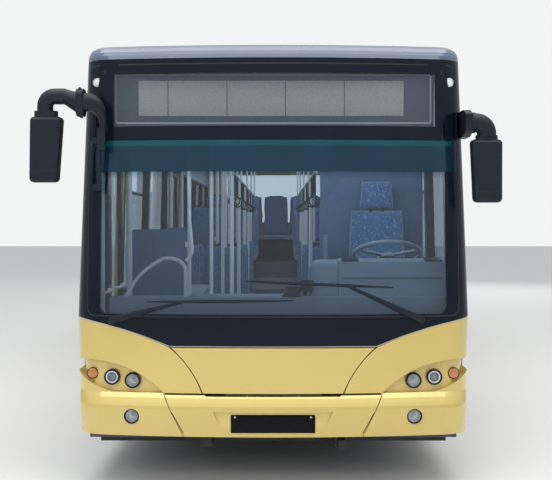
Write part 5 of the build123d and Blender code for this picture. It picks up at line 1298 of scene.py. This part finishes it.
# The rear bench's legs, bearer and front board
for x in (-760.0, 0.0, 760.0):
    block(frames, (x, 5365, 1186), (60, 220, 360), 14)
block(frames, (0, 5365, 1352), (2160, 40, 26), 6)
block(frames, (0, 5262, 1176), (2140, 18, 340), 6)
seat_cushions = padded_piece("seat_cushions", cushions)
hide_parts("passenger_seats")
padded_piece("seat_backs", backs)
make_piece("seat_shells", shells, grey_abs)
make_piece("seat_piping", welts, charcoal_abs, crease=80)
make_piece("seat_frames", frames, chassis_black)

# Driver's seat on its sprung pedestal
driver_x, seat_rear = 780.0, -4480.0
seat_y = seat_rear - 250
cushions, backs, parts, welts = (bmesh.new() for _ in range(4))
cushion_at = Matrix.Translation((driver_x, seat_y, 962)) @ Matrix.Rotation(-math.atan2(20, 500), 4, "X")
upholstery(cushions, cushion_at, 476, 490, 92, channels=(-0.1,))
piping(welts, cushion_at, 476, 490, 3, 5)
back_run = Vector((0, 40, 800)).normalized()
back_foot = Vector((driver_x, seat_rear + 84, 950))
back_at, head_at = (Matrix.Translation(back_foot + back_run * rise) @ lean(back_run) for rise in (404, 914))
upholstery(backs, back_at, 466, 786, 74, channels=(-0.1,), taper=0.84)
piping(welts, back_at, 466, 786, 4, 5, taper=0.84)
upholstery(backs, head_at, 262, 206, 62, taper=0.86)
seat_shell(parts, back_at, 226, 192, -390, 384, 60, 6, -22)
for dx in (-46, 46):
    bar(parts, [back_at @ Vector((dx, 380, 18)), head_at @ Vector((dx, -60, 18))], 7, 10)
fold_pitch = 38.0
bellows = [(0.01, 0)]
for i in range(9):
    bellows += [(150, -i * fold_pitch), (132, -i * fold_pitch - fold_pitch / 2)]
turned(parts, [*bellows, (0.01, -9 * fold_pitch)], (driver_x, seat_y, 940), upright, 36)
block(parts, (driver_x, seat_y, 948), (420, 420, 20), 8)
block(parts, (driver_x, seat_y, 574), (330, 330, 24), 8)
driver_cushion = padded_piece("driver_cushion", cushions)
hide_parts("driver_seat")
padded_piece("driver_backrest", backs)
make_piece("driver_seat_parts", parts, charcoal_abs)
make_piece("driver_seat_piping", welts, grey_abs, crease=80)

# Dashboard: the ticket console, whose end shrinks towards its middle, and the panels and switches
console = bmesh.new()
console_section = [(-5638, 1182), (-5585, 1398), (-5450, 1416), (-5330, 1162), (-5400, 1086), (-5600, 1100)]
console_middle = Vector((0, -5490, 1230))
loops = []
for x, share in ((228, 0.55), (240, 0.8), (262, 0.95), (300, 1.0), (416, 1.0)):
    loop = [console_middle + (Vector((0, y, z)) - console_middle) * share for y, z in console_section]
    loops.append([Vector((x, p.y, p.z)) for p in rounded(loop, 30, 4, closed=True)])
skin(console, loops)
make_piece("ticket_console", console, grey_abs)
panel = bmesh.new()
for x in (500, 1040):
    block(panel, (x, -5511, 1414), (110, 130, 8), 3, Matrix.Rotation(math.radians(8), 4, "X"))
block(panel, (770, -5377, 1294), (330, 8, 170), 3, Matrix.Rotation(math.radians(25), 4, "X"))
trim_line = in_plane([(x, 1298) for x in spread(450, 1090, 10)], 1, -5612, (0, -0.965, 0.262))
bead(panel, trim_line, 5, 3)
block(panel, (215, -5620, 1250), (86, 60, 70), 10)
bar(panel, [(205, -5620, 1186), (205, -5620, 1240)], 14, 12)
turned(panel, [(70, 0), (70, 6), (58, 10), (44, 60), (40, 64), (0.01, 65)], (120, -5640, 1181), upright, 28)
make_piece("dashboard_panels", panel, charcoal_abs)

# Destination display: its border, and five matrix boards between their edges
display_y = -5644.0
board_edges = [-862, -672, -295, 78, 455, 835]
border, boards = bmesh.new(), bmesh.new()
bead(border, in_plane(round_rect(-1005, 1005, 2290, 2600, 12), 1, display_y, forward), 14, 5, closed=True)
for one, other in zip(board_edges, board_edges[1:]):
    block(boards, ((one + other) / 2, display_y - 2, 2448), (other - one - 5, 6, 226), 2)
make_piece("display_border", border, bright_trim)
make_piece("display_panels", boards, led_matrix)
